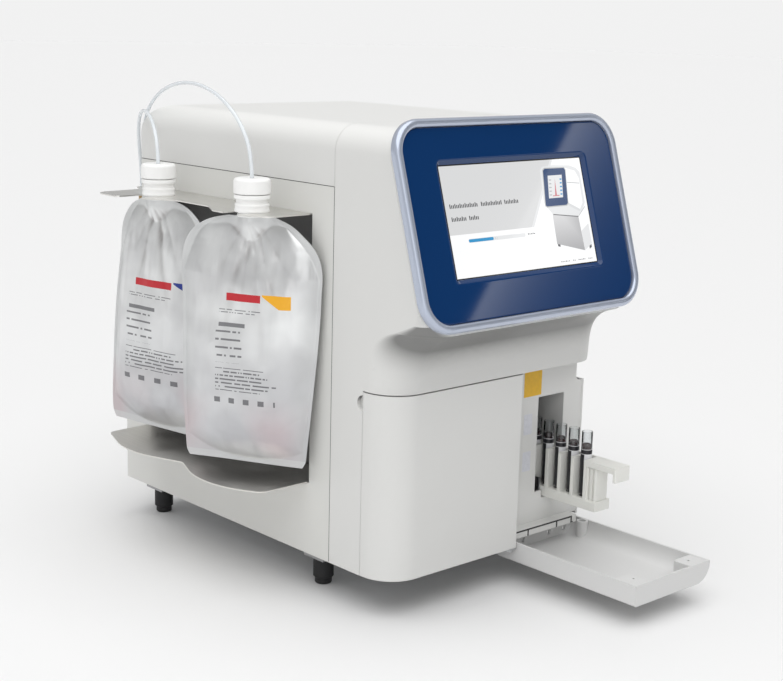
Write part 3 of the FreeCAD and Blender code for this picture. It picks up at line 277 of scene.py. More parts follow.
def round_rect(x0, x1, y0, y1, radius, steps=10):
    """Counter-clockwise outline of a rectangle with round corners."""
    radius = max(radius, 0.01)
    points = []
    for cx, cy, start in ((x1 - radius, y0 + radius, -90), (x1 - radius, y1 - radius, 0),
                          (x0 + radius, y1 - radius, 90), (x0 + radius, y0 + radius, 180)):
        for i in range(steps + 1):
            a = math.radians(start + 90 * i / steps)
            points.append((cx + radius * math.cos(a), cy + radius * math.sin(a)))
    return points


def rings(loops, closed=False, caps=True):
    """Faces between equal loops of points; caps close the two ends."""
    count = len(loops[0])
    verts = [p for loop in loops for p in loop]
    faces = []
    total = len(loops)
    for i in range(total if closed else total - 1):
        a, b = i * count, ((i + 1) % total) * count
        for j in range(count):
            k = (j + 1) % count
            faces.append((a + j, a + k, b + k, b + j))
    if caps and not closed:
        faces.append(tuple(reversed(range(count))))
        faces.append(tuple(range((total - 1) * count, total * count)))
    return verts, faces


def merge(*parts):
    """Join (verts, faces) pairs."""
    verts, faces = [], []
    for more, extra in parts:
        start = len(verts)
        verts.extend(more)
        faces.extend(tuple(i + start for i in face) for face in extra)
    return verts, faces


def lathe(profile, centre, steps, ripple=None):
    """Turn (r, z) points about an upright line through a centre."""
    loops = []
    for r, z in profile:
        loop = []
        for i in range(steps):
            a = 2 * math.pi * i / steps
            reach = r + (ripple(a, r, z) if ripple else 0)
            loop.append(Vector(centre) + Vector((reach * math.cos(a), reach * math.sin(a), z)))
        loops.append(loop)
    closed = profile[0] == profile[-1]
    if closed:
        loops.pop()
    return rings(loops, closed=closed, caps=not closed)


def block(x0, x1, y0, y1, z0, z1, edge=0.6):
    """Box with softened edges, built from stacked outlines."""
    loops = []
    edge = min(edge, (x1 - x0) / 2.2, (y1 - y0) / 2.2, (z1 - z0) / 2.2)
    for k, z in ((edge, z0), (edge * 0.3, z0 + edge * 0.3), (0, z0 + edge),
                 (0, z1 - edge), (edge * 0.3, z1 - edge * 0.3), (edge, z1)):
        loops.append([Vector((x, y, z)) for x, y in
                      round_rect(x0 + k, x1 - k, y0 + k, y1 - k, max(edge * 1.2 - k, 0.05), 3)])
    return rings(loops)


def finish(material, *names):
    """Give construction pieces their finish."""
    for name in names:
        mesh = NODES[name].data
        mesh.materials.clear()
        mesh.materials.append(material)
        mesh.shade_smooth()
        mesh.set_sharp_from_angle(angle=math.radians(28))


def tilted(outline, height):
    """An outline on the display plane, at a height in front of it."""
    return [lean(u, v, height) for u, v in outline]


def ring_loop(inset, height, steps):
    """Outline of the bezel ring, drawn in by inset."""
    return tilted(round_rect(-RING_HALF + inset, RING_HALF - inset, RING_LOW + inset, RING_HIGH - inset,
                             RING_ROUND - inset, steps), height)


# Settings

class FinishSettings(bpy.types.PropertyGroup):
    housing: bpy.props.FloatVectorProperty(
        name="Housing colour", description="Paint of the side and rear panels", subtype="COLOR",
        default=(0.70, 0.70, 0.675), min=0.0, max=1.0)
    moulding: bpy.props.FloatVectorProperty(
        name="Moulding colour", description="Front moulding, top cover, door and sample bay panel",
        subtype="COLOR", default=(0.705, 0.705, 0.69), min=0.0, max=1.0)
    face: bpy.props.FloatVectorProperty(
        name="Face colour", description="Glossy face round the display", subtype="COLOR",
        default=(0.005, 0.036, 0.132), min=0.0, max=1.0)
    grain: bpy.props.FloatProperty(
        name="Paint grain", description="Strength of the fine bumps in the paint", subtype="FACTOR",
        default=0.10, min=0.0, max=1.0)
    gloss: bpy.props.FloatProperty(
        name="Paint roughness", description="Roughness of the paint, from mirror to chalk", subtype="FACTOR",
        default=0.42, min=0.05, max=1.0)


class PouchSettings(bpy.types.PropertyGroup):
    fullness: bpy.props.FloatProperty(
        name="Half thickness in mm", description="Reach of the fullest film from the pouch's middle plane",
        default=21.0, min=5.0, max=22.0)
    creases: bpy.props.FloatProperty(
        name="Crease depth in mm", description="Depth of the folds in the film", default=2.6, min=0.0, max=6.0)
    across: bpy.props.IntProperty(
        name="Columns", description="Mesh columns over the width of a film side", default=120, min=20, max=200)
    tall: bpy.props.IntProperty(
        name="Rows", description="Mesh rows over the height of a film side", default=200, min=20, max=300)


class StageSettings(bpy.types.PropertyGroup):
    key: bpy.props.FloatProperty(
        name="Key light", description="Power of the soft light at the left front", unit="POWER", default=9.0, min=0.0)
    sun: bpy.props.FloatProperty(
        name="Top light", description="Strength of the broad light from above", default=2.0, min=0.0)
    world: bpy.props.FloatProperty(
        name="Surround", description="Brightness of the pale room", default=0.48, min=0.0)


# Housing

class ANALYZER_OT_housing(bpy.types.Operator):
    """Finish of the sheet-metal panels, the mouldings and the base"""
    bl_idname = "analyzer.housing"
    bl_label = "Housing"

    def execute(self, context):
        look = context.scene.analyzer_finish
        frame_look = (look.gloss - 0.04, 1300.0, look.grain * 0.8, 0.0014, 0.08)
        finish(paint("panel_paint", look.housing, look.gloss, 1100.0, look.grain, 0.0010),
               "left_side_panel", "right_side_panel", "rear_panel")
        finish(paint("moulding_paint", look.moulding, *frame_look), "front_door", "sample_bay_panel")
        # painted shade under the head (under=0.30) and painted light on its top (over=1.18)
        finish(paint("head_paint_painted_shade_and_light", look.moulding, *frame_look, under=0.30, over=1.18), "top_cover", "front_frame")
        # dark grey liner: partly the sheet's own tone, partly painted shade deep in the reagent recess
        finish(paint("liner_paint", (0.15, 0.15, 0.15), 0.5, 1100.0, 0.08), "reagent_bay_liner")
        # darker grey steel on the foot brackets: partly their own tone, partly painted shade under the housing
        finish(metal("bracket_steel", (0.42, 0.42, 0.43), 0, 0.4), "foot_brackets")
        finish(metal("zinc_plate", (0.62, 0.63, 0.64), 0, 0.36), "base_tray", "door_hinge_bracket",
               "door_hinge_pins", "sample_door_pin", "panel_screws", "rack_guide", "fluidics_panel",
               "power_supply", "needle_guide")
        finish(plain("foot_rubber", (0.012, 0.012, 0.013), 0.62, edge=0.0008),
               "foot_front_left", "foot_front_right", "foot_rear_left", "foot_rear_right")
        self.seams()
        return {"FINISHED"}

    def seams(self):
        """Painted shadow: near-black strips laid in the side seams and along the gap and slots over the sample flap's
        hinge, where only shade falls.
        """
        # seal here is the near-black material of these painted shadow strips, not a real seal
        seal = plain("seam_painted_shadow", (0.03, 0.03, 0.03), 0.6)
        proud, soft = 0.06, 0.05
        for side, x in (("left", 0.0), ("right", WIDE)):
            piece(f"seam_painted_shadow_{side}", merge(block(x - proud, x + proud, 98.8, 99.5, 1.0, 424.0, soft),
                                             block(x - proud, x + proud, 99.5, 473.0, 423.5, 424.2, soft)),
                  seal)
        slots = [(212.0, 312.2, 12.1, 14.1)]
        slots += [(x - 1.2, x + 1.2, low, 12.6) for x, low in ((234.0, 5.2), (284.5, 5.2), (311.0, 6.5))]
        slots.append((309.5, 314.0, 5.4, 6.6))
        piece("hinge_ledge_slot_shadows", merge(*(block(x0, x1, 10.44, 10.56, z0, z1, soft) for x0, x1, z0, z1 in slots)),
              seal)


class ANALYZER_OT_inner(bpy.types.Operator):
    """Finish of the modules behind the door and inside the housing"""
    bl_idname = "analyzer.inner"
    bl_label = "Inner modules"

    def execute(self, context):
        finish(plain("black_moulding", (0.018, 0.018, 0.020), 0.42, edge=0.0006), "display_module", "fan_frame",
               "fan_rotor", "power_inlet", "power_rocker", "valve_rotor", "detector")
        finish(plain("port_grey", (0.10, 0.10, 0.11), 0.4, 0.6, edge=0.0005), "data_ports")
        finish(metal("milled_aluminium", (0.66, 0.67, 0.68), 2, 0.3),
               "column_oven", "pump_module", "needle_carriage", "syringe_clamp")
        finish(metal("column_steel", (0.60, 0.60, 0.59), 0, 0.22), "separation_column")
        finish(plain("tan_plastic", (0.42, 0.29, 0.14), 0.4, edge=0.0005),
               "line_fittings", "injection_valve", "syringe_plunger")
        finish(clear("barrel_glass", (0.9, 0.95, 0.96)), "syringe_barrel")
        finish(plain("board_green", (0.012, 0.11, 0.04), 0.35, coat=0.4), "main_board")
        return {"FINISHED"}


# Display

class ANALYZER_OT_display(bpy.types.Operator):
    """Pearl ring, blue face, touch glass and the lit picture"""
    bl_idname = "analyzer.display"
    bl_label = "Display"

    def ring(self):
        profile = [(1.0, -2.4), (0.4, -1.8), (0.0, -0.8), (0.0, 3.2)]
        for i in range(1, 13):
            a = math.radians(90 * i / 12)
            profile.append((5.0 - 5.0 * math.cos(a), 3.2 + 5.4 * math.sin(a)))
        for i in range(1, 9):
            a = math.radians(90 * i / 8)
            profile.append((5.0 + 4.4 * math.sin(a), 8.6 - 3.0 * (1 - math.cos(a))))
        profile += [(9.45, 4.0), (9.45, -2.4)]
        loops = [ring_loop(inset, height, 20) for inset, height in profile]
        piece("bezel_ring_look", rings(loops, closed=True), pearl("ring_pearl", (0.50, 0.55, 0.66)),
              stands=["bezel_ring"])

    def face(self):
        edge = 9.85
        outer = [(edge, -2.4), (edge, 3.2), (edge + 0.25, 3.75), (edge + 0.8, 4.0), (edge + 1.6, 4.0)]
        loops = [ring_loop(inset, height, 14) for inset, height in outer]
        inner = [(6.2, 4.0, 7.8), (5.2, 4.0, 7.0), (4.5, 3.8, 6.6), (4.0, 3.3, 6.2), (3.4, 2.75, 5.6),
                 (1.5, 1.15, 3.7), (1.0, 0.7, 3.2), (0.4, 0.12, 2.6), (0.3, -1.7, 2.4)]
        for out, height, radius in inner:
            flat = round_rect(-112.5 - out, 112.5 + out, -1 - out, 120.4 + out, radius, 14)
            loops.append(tilted(flat, height))
        blue = bpy.context.scene.analyzer_finish.face
        s = Shader("face_blue")
        fine = s.noise(s.coords(), 1500.0, 1.0)
        s.set(color=blue, rough=s.span(fine, 0.3, 0.7, 0.025, 0.04), sheen=0.5, normal=s.bump(fine, 0.01, 0.0001))
        piece("bezel_face_look", rings(loops, caps=False), s.mat, stands=["bezel_face"])

    def picture(self):
        """Lit picture: pale fields, grey bars in place of words, a progress bar and a small instrument."""
        shades = {name: lit(Shader(f"picture_{name}"), color, power) for name, color, power in (
            ("edge", (0.01, 0.01, 0.012), 0.3), ("grey", (0.70, 0.705, 0.71), 1.0),
            ("white", (0.95, 0.955, 0.96), 1.04), ("ink", (0.07, 0.07, 0.08), 0.6),
            ("cyan", (0.03, 0.33, 0.66), 0.9), ("pale", (0.78, 0.79, 0.80), 1.0),
            ("light", (0.70, 0.71, 0.72), 1.0), ("shade", (0.48, 0.49, 0.50), 1.0),
            ("line", (0.12, 0.12, 0.13), 1.0), ("navy", (0.008, 0.045, 0.15), 1.0),
            ("rose", (0.75, 0.25, 0.28), 0.8))}
        s = Shader("picture_body")
        across, _, height = s.split(s.coords((1000, 1000, 1000)))
        left = SCREEN.x - ORIGIN.x + 50
        fade = s.math("MAXIMUM", s.span(across, left, left + 44, 0.0, 0.8), s.span(height, 440, 395, 0.2, 1.0))
        shades["body"] = lit(s, s.mix(fade, (0.80, 0.80, 0.81), (0.40, 0.40, 0.41)), 1.0)
        names = list(shades)
        verts, faces, kinds = [], [], []

        def area(points, level, shade):
            start = len(verts)
            verts.extend(tilted(points, -0.25 + level * 0.03))
            faces.append(tuple(range(start, start + len(points))))
            kinds.append(names.index(shade))

        def bar(u0, u1, v0, v1, level, shade, radius=0.0):
            area(round_rect(u0, u1, v0, v1, radius, 4) if radius else
                 [(u0, v0), (u1, v0), (u1, v1), (u0, v1)], level, shade)

        bar(-112.6, 112.6, -1.1, 120.5, 0, "edge")
        bar(-DISPLAY_HALF, DISPLAY_HALF, 0, DISPLAY_TALL, 1, "white")
        area([(-DISPLAY_HALF, 46), (14, 46), (62, DISPLAY_TALL), (-DISPLAY_HALF, DISPLAY_TALL)], 2, "grey")
        area([(14, 46), (18, 46), (66, DISPLAY_TALL), (62, DISPLAY_TALL)], 2, "pale")
        words = ((-105, 74.2, 3.6, (44, 33, 24)), (-105, 60.4, 3.6, (23, 17)), (-46, 37.6, 1.5, (7,)),
                 (6, 38.4, 1.2, (14,)), (52, 3.6, 0.9, (17, 6, 14, 9)))
        pitch, stroke = 2.5, 1.4
        for cursor, v, tall, widths in words:
            for width in widths:
                for k in range(int(width / pitch)):
                    u = cursor + k * pitch
                    bar(u, u + stroke, v, v + tall * (1.0 if k % 3 else 1.3), 3, "ink")
                cursor += width + 3
        bar(-86, 2, 36.4, 40.6, 3, "pale", 1.9)
        bar(-85.4, -48, 36.8, 40.2, 4, "cyan", 1.5)
        area([(50, 24.6), (94.6, 13.7), (93, 56), (51, 60)], 4, "body")
        area([(94.6, 13.7), (108, 20.5), (108, 78), (93, 56)], 5, "white")
        area([(94.6, 13.7), (108, 20.5), (108, 44), (93.9, 36)], 6, "pale")
        area([(44, 66), (51, 58.5), (93, 53.5), (101, 58), (108, 68), (108, 103), (103, 108), (92, 111.5), (66, 113),
              (47, 112), (42.5, 108), (40, 72)], 6, "pale")
        area([(79, 70), (98, 61), (104, 68), (105, 96), (100, 105), (84, 109)], 7, "white")
        area([(80, 66), (97, 58.5), (98, 61), (79, 70)], 8, "light")
        area([(52, 57.2), (93, 52.2), (93, 53.1), (52, 58.2)], 7, "line")
        area([(93, 52.2), (107, 63), (107, 64), (93, 53.1)], 7, "shade")
        area([(84, 92), (104, 90), (104, 90.9), (84, 92.9)], 8, "shade")
        area([(51, 24.4), (55, 23.4), (55, 20.8), (51, 21.8)], 5, "line")
        area([(103, 17.9), (107, 19.9), (107, 16.6), (103, 14.6)], 5, "line")
        area([(41.2, 67.5), (44, 66), (77, 66), (80.2, 68), (85, 107), (83, 110), (50, 110.6), (46.5, 108.4)],
             8, "shade")
        area([(42.2, 68.4), (44.6, 67.2), (76.4, 67.2), (79.2, 69), (84, 106.4), (82.2, 109), (50.6, 109.5),
              (47.4, 107.4)], 9, "navy")
        area([(49.5, 76), (73, 76), (77, 101.5), (53.5, 101.5)], 10, "pale")
        for k in range(5):
            rise = 79 + k * 4.2
            slip = (rise - 76) * 0.157
            bar(51 + slip, 55 + slip, rise, rise + 1.4, 11, "shade")
            bar(69 + slip, 72.3 + slip, rise, rise + 1.6, 11, "cyan")
        area([(59, 79), (60.4, 79), (64.4, 98), (63.4, 79), (67.6, 79), (67.4, 77.9), (56.6, 77.9), (56.8, 79)],
             11, "rose")
        piece("touch_glass_look", (verts, faces), [shades[n] for n in names], stands=["touch_glass"],
              face_materials=kinds, smooth=10)
        back = rings([tilted(round_rect(-134, 134, -26, 141, 3, 4), height) for height in (-1.8, -0.3)])
        piece("touch_glass_back", back, plain("glass_back", (0.01, 0.01, 0.011), 0.3))

    def execute(self, context):
        self.ring()
        self.face()
        self.picture()
        return {"FINISHED"}


# Reagents

EDGES = {
    "b": (((0, 67), (80, 75), (137, 80.5), (194, 84), (227, 84), (246, 76.5), (260, 63), (273, 45.5), (280, 28)),
          ((0, 80), (64, 84), (191, 85), (222, 86), (254, 78), (268, 64), (276, 46), (280, 28))),
    "a": (((0, 72), (80, 78), (170, 83), (225, 84), (250, 76), (267, 61), (276, 44), (280, 28)),
          ((0, 83), (18, 86), (84, 83), (148, 77), (211, 67), (248, 62), (262, 54), (273, 42), (280, 26))),
}
# Folds that run down from a spout: angle in degrees, depth and length in mm
FOLDS = {
    "b": ((-58, 0.8, 34), (-37, 2.2, 46), (-21, 3.6, 52), (-9, 2.0, 90), (1, 3.8, 44), (10, 2.4, 72), (27, 2.4, 38),
          (44, 1.2, 48)),
    "a": ((-50, 1.0, 40), (-31, 2.8, 44), (-15, 3.4, 64), (-3, 2.2, 50), (9, 3.2, 86), (22, 2.2, 46), (38, 1.8, 40)),
}
POUCH_LOW, POUCH_TALL = 106.0, 280.0


def ridged(value):
    """A sharp-crested fold from a smooth number."""
    return 1.0 - abs(2.0 * (value - math.floor(value)) - 1.0)


def from_table(table, z):
    """Smooth value between measured (height, reach) pairs."""
    z = min(max(z, table[0][0]), table[-1][0])
    for k in range(len(table) - 1):
        if z <= table[k + 1][0]:
            break
    (z0, a), (z1, b) = table[k], table[k + 1]
    here = (b - a) / (z1 - z0)
    before = (a - table[k - 1][1]) / (z0 - table[k - 1][0]) if k else here
    after = (table[k + 2][1] - b) / (table[k + 2][0] - z1) if k + 2 < len(table) else here
    m0, m1 = (before + here) / 2, (here + after) / 2
    t, width = (z - z0) / (z1 - z0), z1 - z0
    return (a * (2 * t ** 3 - 3 * t * t + 1) + b * (3 * t * t - 2 * t ** 3)
            + width * (m0 * (t ** 3 - 2 * t * t + t) + m1 * (t ** 3 - t * t)))


def spout_folds(name, x, z):
    """Depth of the folds that fan out below a spout."""
    down, total = POUCH_TALL + 6.0 - z, 0.0
    reach = math.hypot(x, down)
    angle = math.atan2(x, down)
    for degrees, deep, long in FOLDS[name]:
        wander = 3.0 * noise.noise(Vector((degrees, reach / 45.0, 0.0)))
        off = reach * math.sin(angle - math.radians(degrees)) + wander * min(1.0, reach / 50.0)
        width = 1.6 + 0.07 * reach
        uneven = 1.0 + 1.1 * noise.noise(Vector((degrees * 0.7, reach / 19.0, 5.0)))
        total += deep * uneven * min(1.0, reach / 14.0) * math.exp(-reach / long) * math.exp(-abs(off) / width)
    crumple = noise.noise(Vector((x / 9.0 + ord(name), down / 26.0, 9.0)))
    return total + 2.4 * crumple * min(1.0, reach / 16.0) * math.exp(-reach / 42.0)


def pouch_point(name, share, z, side, look, seed):
    """One point of the film (x across, y through the thickness, z up) and a share from 0 at its sealed border to 1 well
    inside it.
    """
    front, rear = EDGES[name]
    edge = from_table(rear if share > 0 else front, z)
    if z < 10.0:
        edge -= 3.5 * (1.0 - z / 10.0) ** 2
    x = share * edge
    seal = 4.0 + 7.0 * clamp((z - 215.0) / 30.0)
    from_side = edge - abs(x) - seal
    shoulder = POUCH_TALL - z - 9.0 + 3.0 * math.cos(x / 20.0)
    gusset = z - (5.0 + 26.0 * (abs(x) / 84.0) ** 2.6)
    lengths = [max(d, 0.0) for d in (from_side * 1.25, shoulder * 0.75, gusset * 0.95)]
    reach = 0.0
    if min(lengths) > 0:
        reach = sum(1.0 / (d / 52.0) ** 2.6 for d in lengths) ** (-1 / 2.6)
    belly = 1.0 - (1.0 - min(reach, 1.0)) ** 1.75
    full = look.fullness * (1.0 - 0.42 * max(0.0, (z - 120.0) / 150.0) ** 1.4)
    thick = full * belly
    spout = math.exp(-(x / 14.0) ** 2) * clamp((z - 222.0) / 52.0) ** 1.5
    thick = max(thick, 13.2 * spout) + 0.45
    depth = 0.0
    where = Vector((x / 46.0 + seed, z / 62.0, side * 2.0 + seed))
    if belly > 0.01:
        depth += 1.35 * spout_folds(name, x, z)
        depth += 3.0 * noise.noise(where * 0.95) * math.exp(-((z - 140.0) / 150.0) ** 2)
        depth += 1.15 * noise.noise(Vector((x / 22.0, z / 50.0, seed + 4.0)))
        depth += 0.75 * noise.noise(Vector((x / 12.0 + z / 90.0, z / 75.0, seed + 7.0)))
        depth += 0.7 * ridged((x + 0.3 * z) / 58.0 + 0.5 * noise.noise(where * 1.1)) ** 5 * max(0.0, 1.0 - z / 230.0)
        depth += 0.5 * noise.noise(Vector((x / 15.0, z / 9.0, seed + 11.0))) * math.exp(-((z - 60.0) / 70.0) ** 2)
        rim = max(0.0, 1.0 - from_side / 20.0)
        depth += 1.0 * rim * ridged(z / 33.0 + 1.1 * noise.noise(where * 2.0)) ** 2
        low = max(0.0, 1.0 - gusset / 30.0)
        depth += 0.9 * low * ridged(x / 30.0 + 1.2 * noise.noise(where * 1.7)) ** 2
    thick -= depth * look.creases / 2.6 * min(1.0, belly * 1.6)
    wave = 1.5 * noise.noise(Vector((x / 70.0, z / 90.0, seed))) * (1.0 - belly)
    lines = 0.25 * ridged((edge - abs(x)) / 3.4) if 1.5 < edge - abs(x) < 11.0 and z > 205.0 else 0.0
    y = side * max(min(thick, 21.9) - lines * (1.0 - belly), 0.3) + wave
    inner = clamp((min(from_side, gusset) - 4.0) / 16.0) * clamp(shoulder / 6.0)
    return Vector((x, y, z)), inner


def fold_painted_shade(grid, masks, side):
    """Painted shade for each point of a film side, darker in its small hollows and on its slopes."""
    tones = []
    for points, mask in zip(grid, masks):
        high = [p.y * side for p in points]
        count = len(high)
        for i in range(count):
            a, b = max(0, i - 7), min(count - 1, i + 7)
            around = sum(high[a:b + 1]) / (b - a + 1)
            left, right = max(0, i - 1), min(count - 1, i + 1)
            across = max(abs(points[right].x - points[left].x), 0.5)
            slope = (high[right] - high[left]) / across - (high[b] - high[a]) / max(abs(points[b].x - points[a].x), 1.0)
            hollow = max(0.0, around - high[i])
            height = 0.35 + 0.65 * clamp((points[i].z - 130.0) / 70.0)
            tones.append(min(1.0, 0.5 * hollow + 1.5 * max(0.0, slope - 0.03)) * mask[i] * height)
    return tones


@cached
def film(name, corner, stretch, shift, rise):
    """Silvery laminate with a plain red bar, a coloured corner field and grey rows in place of print, with painted
    shade towards the bottom and in the creases and a painted red reflection low on the film.
    """
    s = Shader(name)
    across, height, _ = s.split(s.add("UVMap").outputs[0])
    x = s.math("MULTIPLY", s.math("SUBTRACT", across, shift), 1.0 / stretch)
    y = s.math("SUBTRACT", height, rise)

    def inside(x0, x1, y0, y1):
        return s.math("MULTIPLY", s.between(x, x0, x1), s.between(y, y0, y1))

    def stripes(value, pitch, share):
        return s.math("LESS_THAN", s.math("FRACT", s.math("DIVIDE", value, pitch)), share)

    def rows(x0, x1, y0, y1, pitch, share, words):
        """Rows of short bars with ragged right ends."""
        key = s.math("FLOOR", s.math("DIVIDE", y, pitch))
        cell = s.add("CombineXYZ", {0: s.math("FLOOR", s.math("DIVIDE", x, words)), 1: key}).outputs[0]
        word = s.add("TexWhiteNoise", {"Vector": cell}, noise_dimensions="2D").outputs["Value"]
        end = s.add("TexWhiteNoise", {"W": key}, noise_dimensions="1D").outputs["Value"]
        ragged = (x1 - x0) * 0.35
        limit = s.math("MULTIPLY_ADD", end, ragged, x1 - ragged)
        return s.chain("MULTIPLY", stripes(y, pitch, share), s.math("GREATER_THAN", word, 0.2),
                       s.math("LESS_THAN", x, limit), inside(x0, x1, y0, y1))

    where = s.coords()
    fine = s.noise(where, 45.0, 2.0, 0.5)
    broad = s.noise(where, 21.0, 1.5)
    # painted reflection: a pink-red patch on the lower film, masked by low, stands in for a red reflection
    red_reflection_noise = s.noise(s.coords((1.0, 1.0, 0.6)), 9.0, 1.0)
    low = s.math("MULTIPLY", s.span(height, 190.0, 150.0), s.span(red_reflection_noise, 0.46, 0.60, 0.0, 0.6))
    foot = s.math("MULTIPLY", s.math("LESS_THAN", height, POUCH_LOW + 8.0), 0.7)
    red = inside(-23.0, 19.0, 278.5, 287.0)
    slant = s.math("ADD", s.math("MULTIPLY", s.math("SUBTRACT", y, 273.0), 1.5), s.math("SUBTRACT", x, 41.0))
    wedge = s.math("MULTIPLY", inside(21.0, 54.0, 273.0, 288.0), s.math("GREATER_THAN", slant, 0.0))
    ink = s.chain("MAXIMUM", inside(-31.0, 1.0, 249.5, 254.0), rows(-31.0, 34.0, 265.0, 269.0, 4.0, 0.5, 1.7),
                  rows(-34.0, 6.0, 209.0, 245.0, 9.0, 0.24, 2.3), rows(-34.0, 42.0, 177.0, 203.0, 4.3, 0.40, 1.5),
                  s.math("MULTIPLY", inside(-36.0, 38.0, 163.0, 169.0), stripes(x, 18.0, 0.4)))
    tone = s.mix(s.span(broad, 0.38, 0.62), (0.66, 0.665, 0.67), (0.82, 0.83, 0.83))
    # painted shade: the first entry darkens the film towards the bottom
    for amount, color in ((s.span(height, 270.0, 130.0, 0.0, 0.6), (0.42, 0.42, 0.45)),
                          (s.math("MULTIPLY", s.attribute("rim"), 0.45), (0.52, 0.53, 0.53)),
                          # low is the painted red reflection; foot is the light grey bottom seal
                          (low, (0.58, 0.47, 0.49)), (foot, (0.62, 0.63, 0.63)),
                          # painted shade in the creases and on slopes, from the fold attribute
                          (s.math("MULTIPLY", s.attribute("fold"), 0.62), (0.20, 0.175, 0.17)),
                          (s.math("MULTIPLY", ink, 0.8), (0.07, 0.07, 0.08)), (red, (0.52, 0.02, 0.03)),
                          (wedge, corner)):
        tone = s.mix(amount, tone, color)
    return s.set(color=tone, metal=s.span(s.chain("MAXIMUM", red, wedge, ink), 0.0, 1.0, 0.70, 0.1),
                 rough=s.span(fine, 0.3, 0.7, 0.30, 0.37), coat=0.0, normal=s.bump(fine, 0.012, 0.0008))


class ANALYZER_OT_pouches(bpy.types.Operator):
    """Two film pouches hanging from their spouts"""
    bl_idname = "analyzer.pouches"
    bl_label = "Pouches"

    def execute(self, context):
        look = context.scene.analyzer_pouch
        fields = {"a": ((0.02, 0.04, 0.26), 1.45, 11.6, 4.6), "b": ((0.85, 0.42, 0.02), 1.0, 0.0, 14.5)}
        for name, (sx, sy, turn) in SPOUTS.items():
            seed = {"a": 3.7, "b": 8.2}[name]
            a = math.radians(90 + turn)
            along, through = Vector((math.cos(a), math.sin(a), 0)), Vector((-math.sin(a), math.cos(a), 0))
            base = Vector((sx, sy, POUCH_LOW))
            columns, tall = look.across, look.tall
            verts, uv, faces, folds, rims = [], [], [], [], []
            for side in (1, -1):
                grid, masks = [], []
                for j in range(tall + 1):
                    z = POUCH_TALL * j / tall
                    line, mask = [], []
                    for i in range(columns + 1):
                        share = math.sin(math.pi * (i / columns - 0.5))
                        share = share * 0.55 + (2 * i / columns - 1) * 0.45
                        p, inner = pouch_point(name, share, z, side, look, seed + side)
                        verts.append(base + along * p.x + through * p.y + Vector((0, 0, p.z)))
                        uv.append((-p.x, z + POUCH_LOW))
                        line.append(p)
                        mask.append(inner)
                    grid.append(line)
                    masks.append(mask)
                folds.extend(fold_painted_shade(grid, masks, side))
                rims.extend(1.0 - inner for mask in masks for inner in mask)
            span = columns + 1
            layer = span * (tall + 1)
            for side in (0, 1):
                for j in range(tall):
                    for i in range(columns):
                        k = side * layer + j * span + i
                        quad = (k, k + 1, k + span + 1, k + span)
                        faces.append(quad if side else tuple(reversed(quad)))
            edge = list(range(span))
            edge += [j * span + columns for j in range(1, tall + 1)]
            edge += [tall * span + i for i in range(columns - 1, -1, -1)]
            edge += [j * span for j in range(tall - 1, 0, -1)]
            for a0, b0 in zip(edge, edge[1:] + edge[:1]):
                faces.append((a0, b0, b0 + layer, a0 + layer))
            thing = piece(f"eluent_pouch_{name}_look", (verts, faces), film(f"film_{name}", *fields[name]),
                          stands=[f"eluent_pouch_{name}"], uv=uv, smooth=60)
            # fold carries the painted crease shade for the film; rim marks its sealed border
            for title, values in (("fold", folds), ("rim", rims)):
                thing.data.attributes.new(title, "FLOAT", "POINT").data.foreach_set("value", values)
        return {"FINISHED"}


class ANALYZER_OT_caps(bpy.types.Operator):
    """Ribbed caps and spouts"""
    bl_idname = "analyzer.caps"
    bl_label = "Caps and lines"

    def execute(self, context):
        s = Shader("cap_white")
        fine = s.noise(s.coords(), 400.0, 2.0)
        white = s.set(color=(0.92, 0.92, 0.91), rough=0.34, soft=0.12, normal=s.bump(fine, 0.04, 0.0003))
        s.main.inputs["Subsurface Radius"].default_value = (0.004, 0.004, 0.004)
        for name, (x, y, _) in SPOUTS.items():
            body = "cap_rear" if name == "a" else "cap_front"
            low, high = 411.0, 428.0

            def ribs(a, r, z):
                return -0.22 * (0.5 + 0.5 * math.cos(a * 72)) if r > 20.3 and low + 1.4 < z < high - 3.2 else 0.0

            profile = [(13.95, low), (19.9, low), (20.3, low + 0.4), (20.5, low + 1.2), (20.45, low + 2.0),
                       (20.45, high - 4.0), (20.3, high - 3.0), (19.7, high - 1.6), (18.6, high - 0.5), (17.2, high),
                       (6.0, high), (5.4, high - 0.6), (3.4, high - 0.6), (2.75, high - 0.4), (2.75, high - 3),
                       (13.95, high - 3), (13.95, low)]
            piece(f"pouch_cap_{name}_look", lathe(profile, (x, y, 0), 288, ribs), white, body=body,
                  stands=[f"pouch_cap_{name}"])
            profile = [(11, 0), (16.0, 0), (16.5, 0.6), (16.5, 2.0), (16.0, 2.6), (14.0, 3.0), (13.6, 3.6),
                       (13.6, 5.02), (19.0, 5.02), (19.4, 5.6), (19.4, 7.4), (19.1, 8.0), (18.9, 8.5),
                       (18.9, 11.2), (19.1, 12.0), (19.2, 12.8), (19.0, 13.5), (18.3, 14.2), (17.6, 14.7),
                       (17.4, 15.3), (17.4, 18.5), (17.7, 19.2), (19.4, 19.5), (19.9, 20.0), (19.9, 23.6),
                       (19.5, 24.2), (13.6, 24.3), (13.6, 37.0), (13.1, 37.5), (11, 37.5), (11, 0)]
            profile = [(r, z + POUCH_LOW + POUCH_TALL) for r, z in profile]
            piece(f"pouch_spout_{name}_look", lathe(profile, (x, y, 0), 96), white,
                  stands=[f"pouch_spout_{name}"])
        return {"FINISHED"}


LINES = {
    "b": [(-45, 185.4, 422), (-44.8, 186.8, 450), (-42.4, 203, 477), (-37, 235, 500), (-28, 282, 517),
          (-18, 338, 524), (-8.5, 392, 519), (-1, 436, 505), (6, 470, 483), (10, 483, 460), (18, 489, 430),
          (30, 494.5, 400), (30, 494.5, 368)],
    "a": [(-45, 368.5, 422), (-45, 369.6, 443), (-39, 383, 463), (-26, 413, 479), (-10, 452, 486),
          (0, 478, 477), (4, 487, 457), (8, 491, 433), (13, 494.5, 403), (13, 494.5, 370)],
}


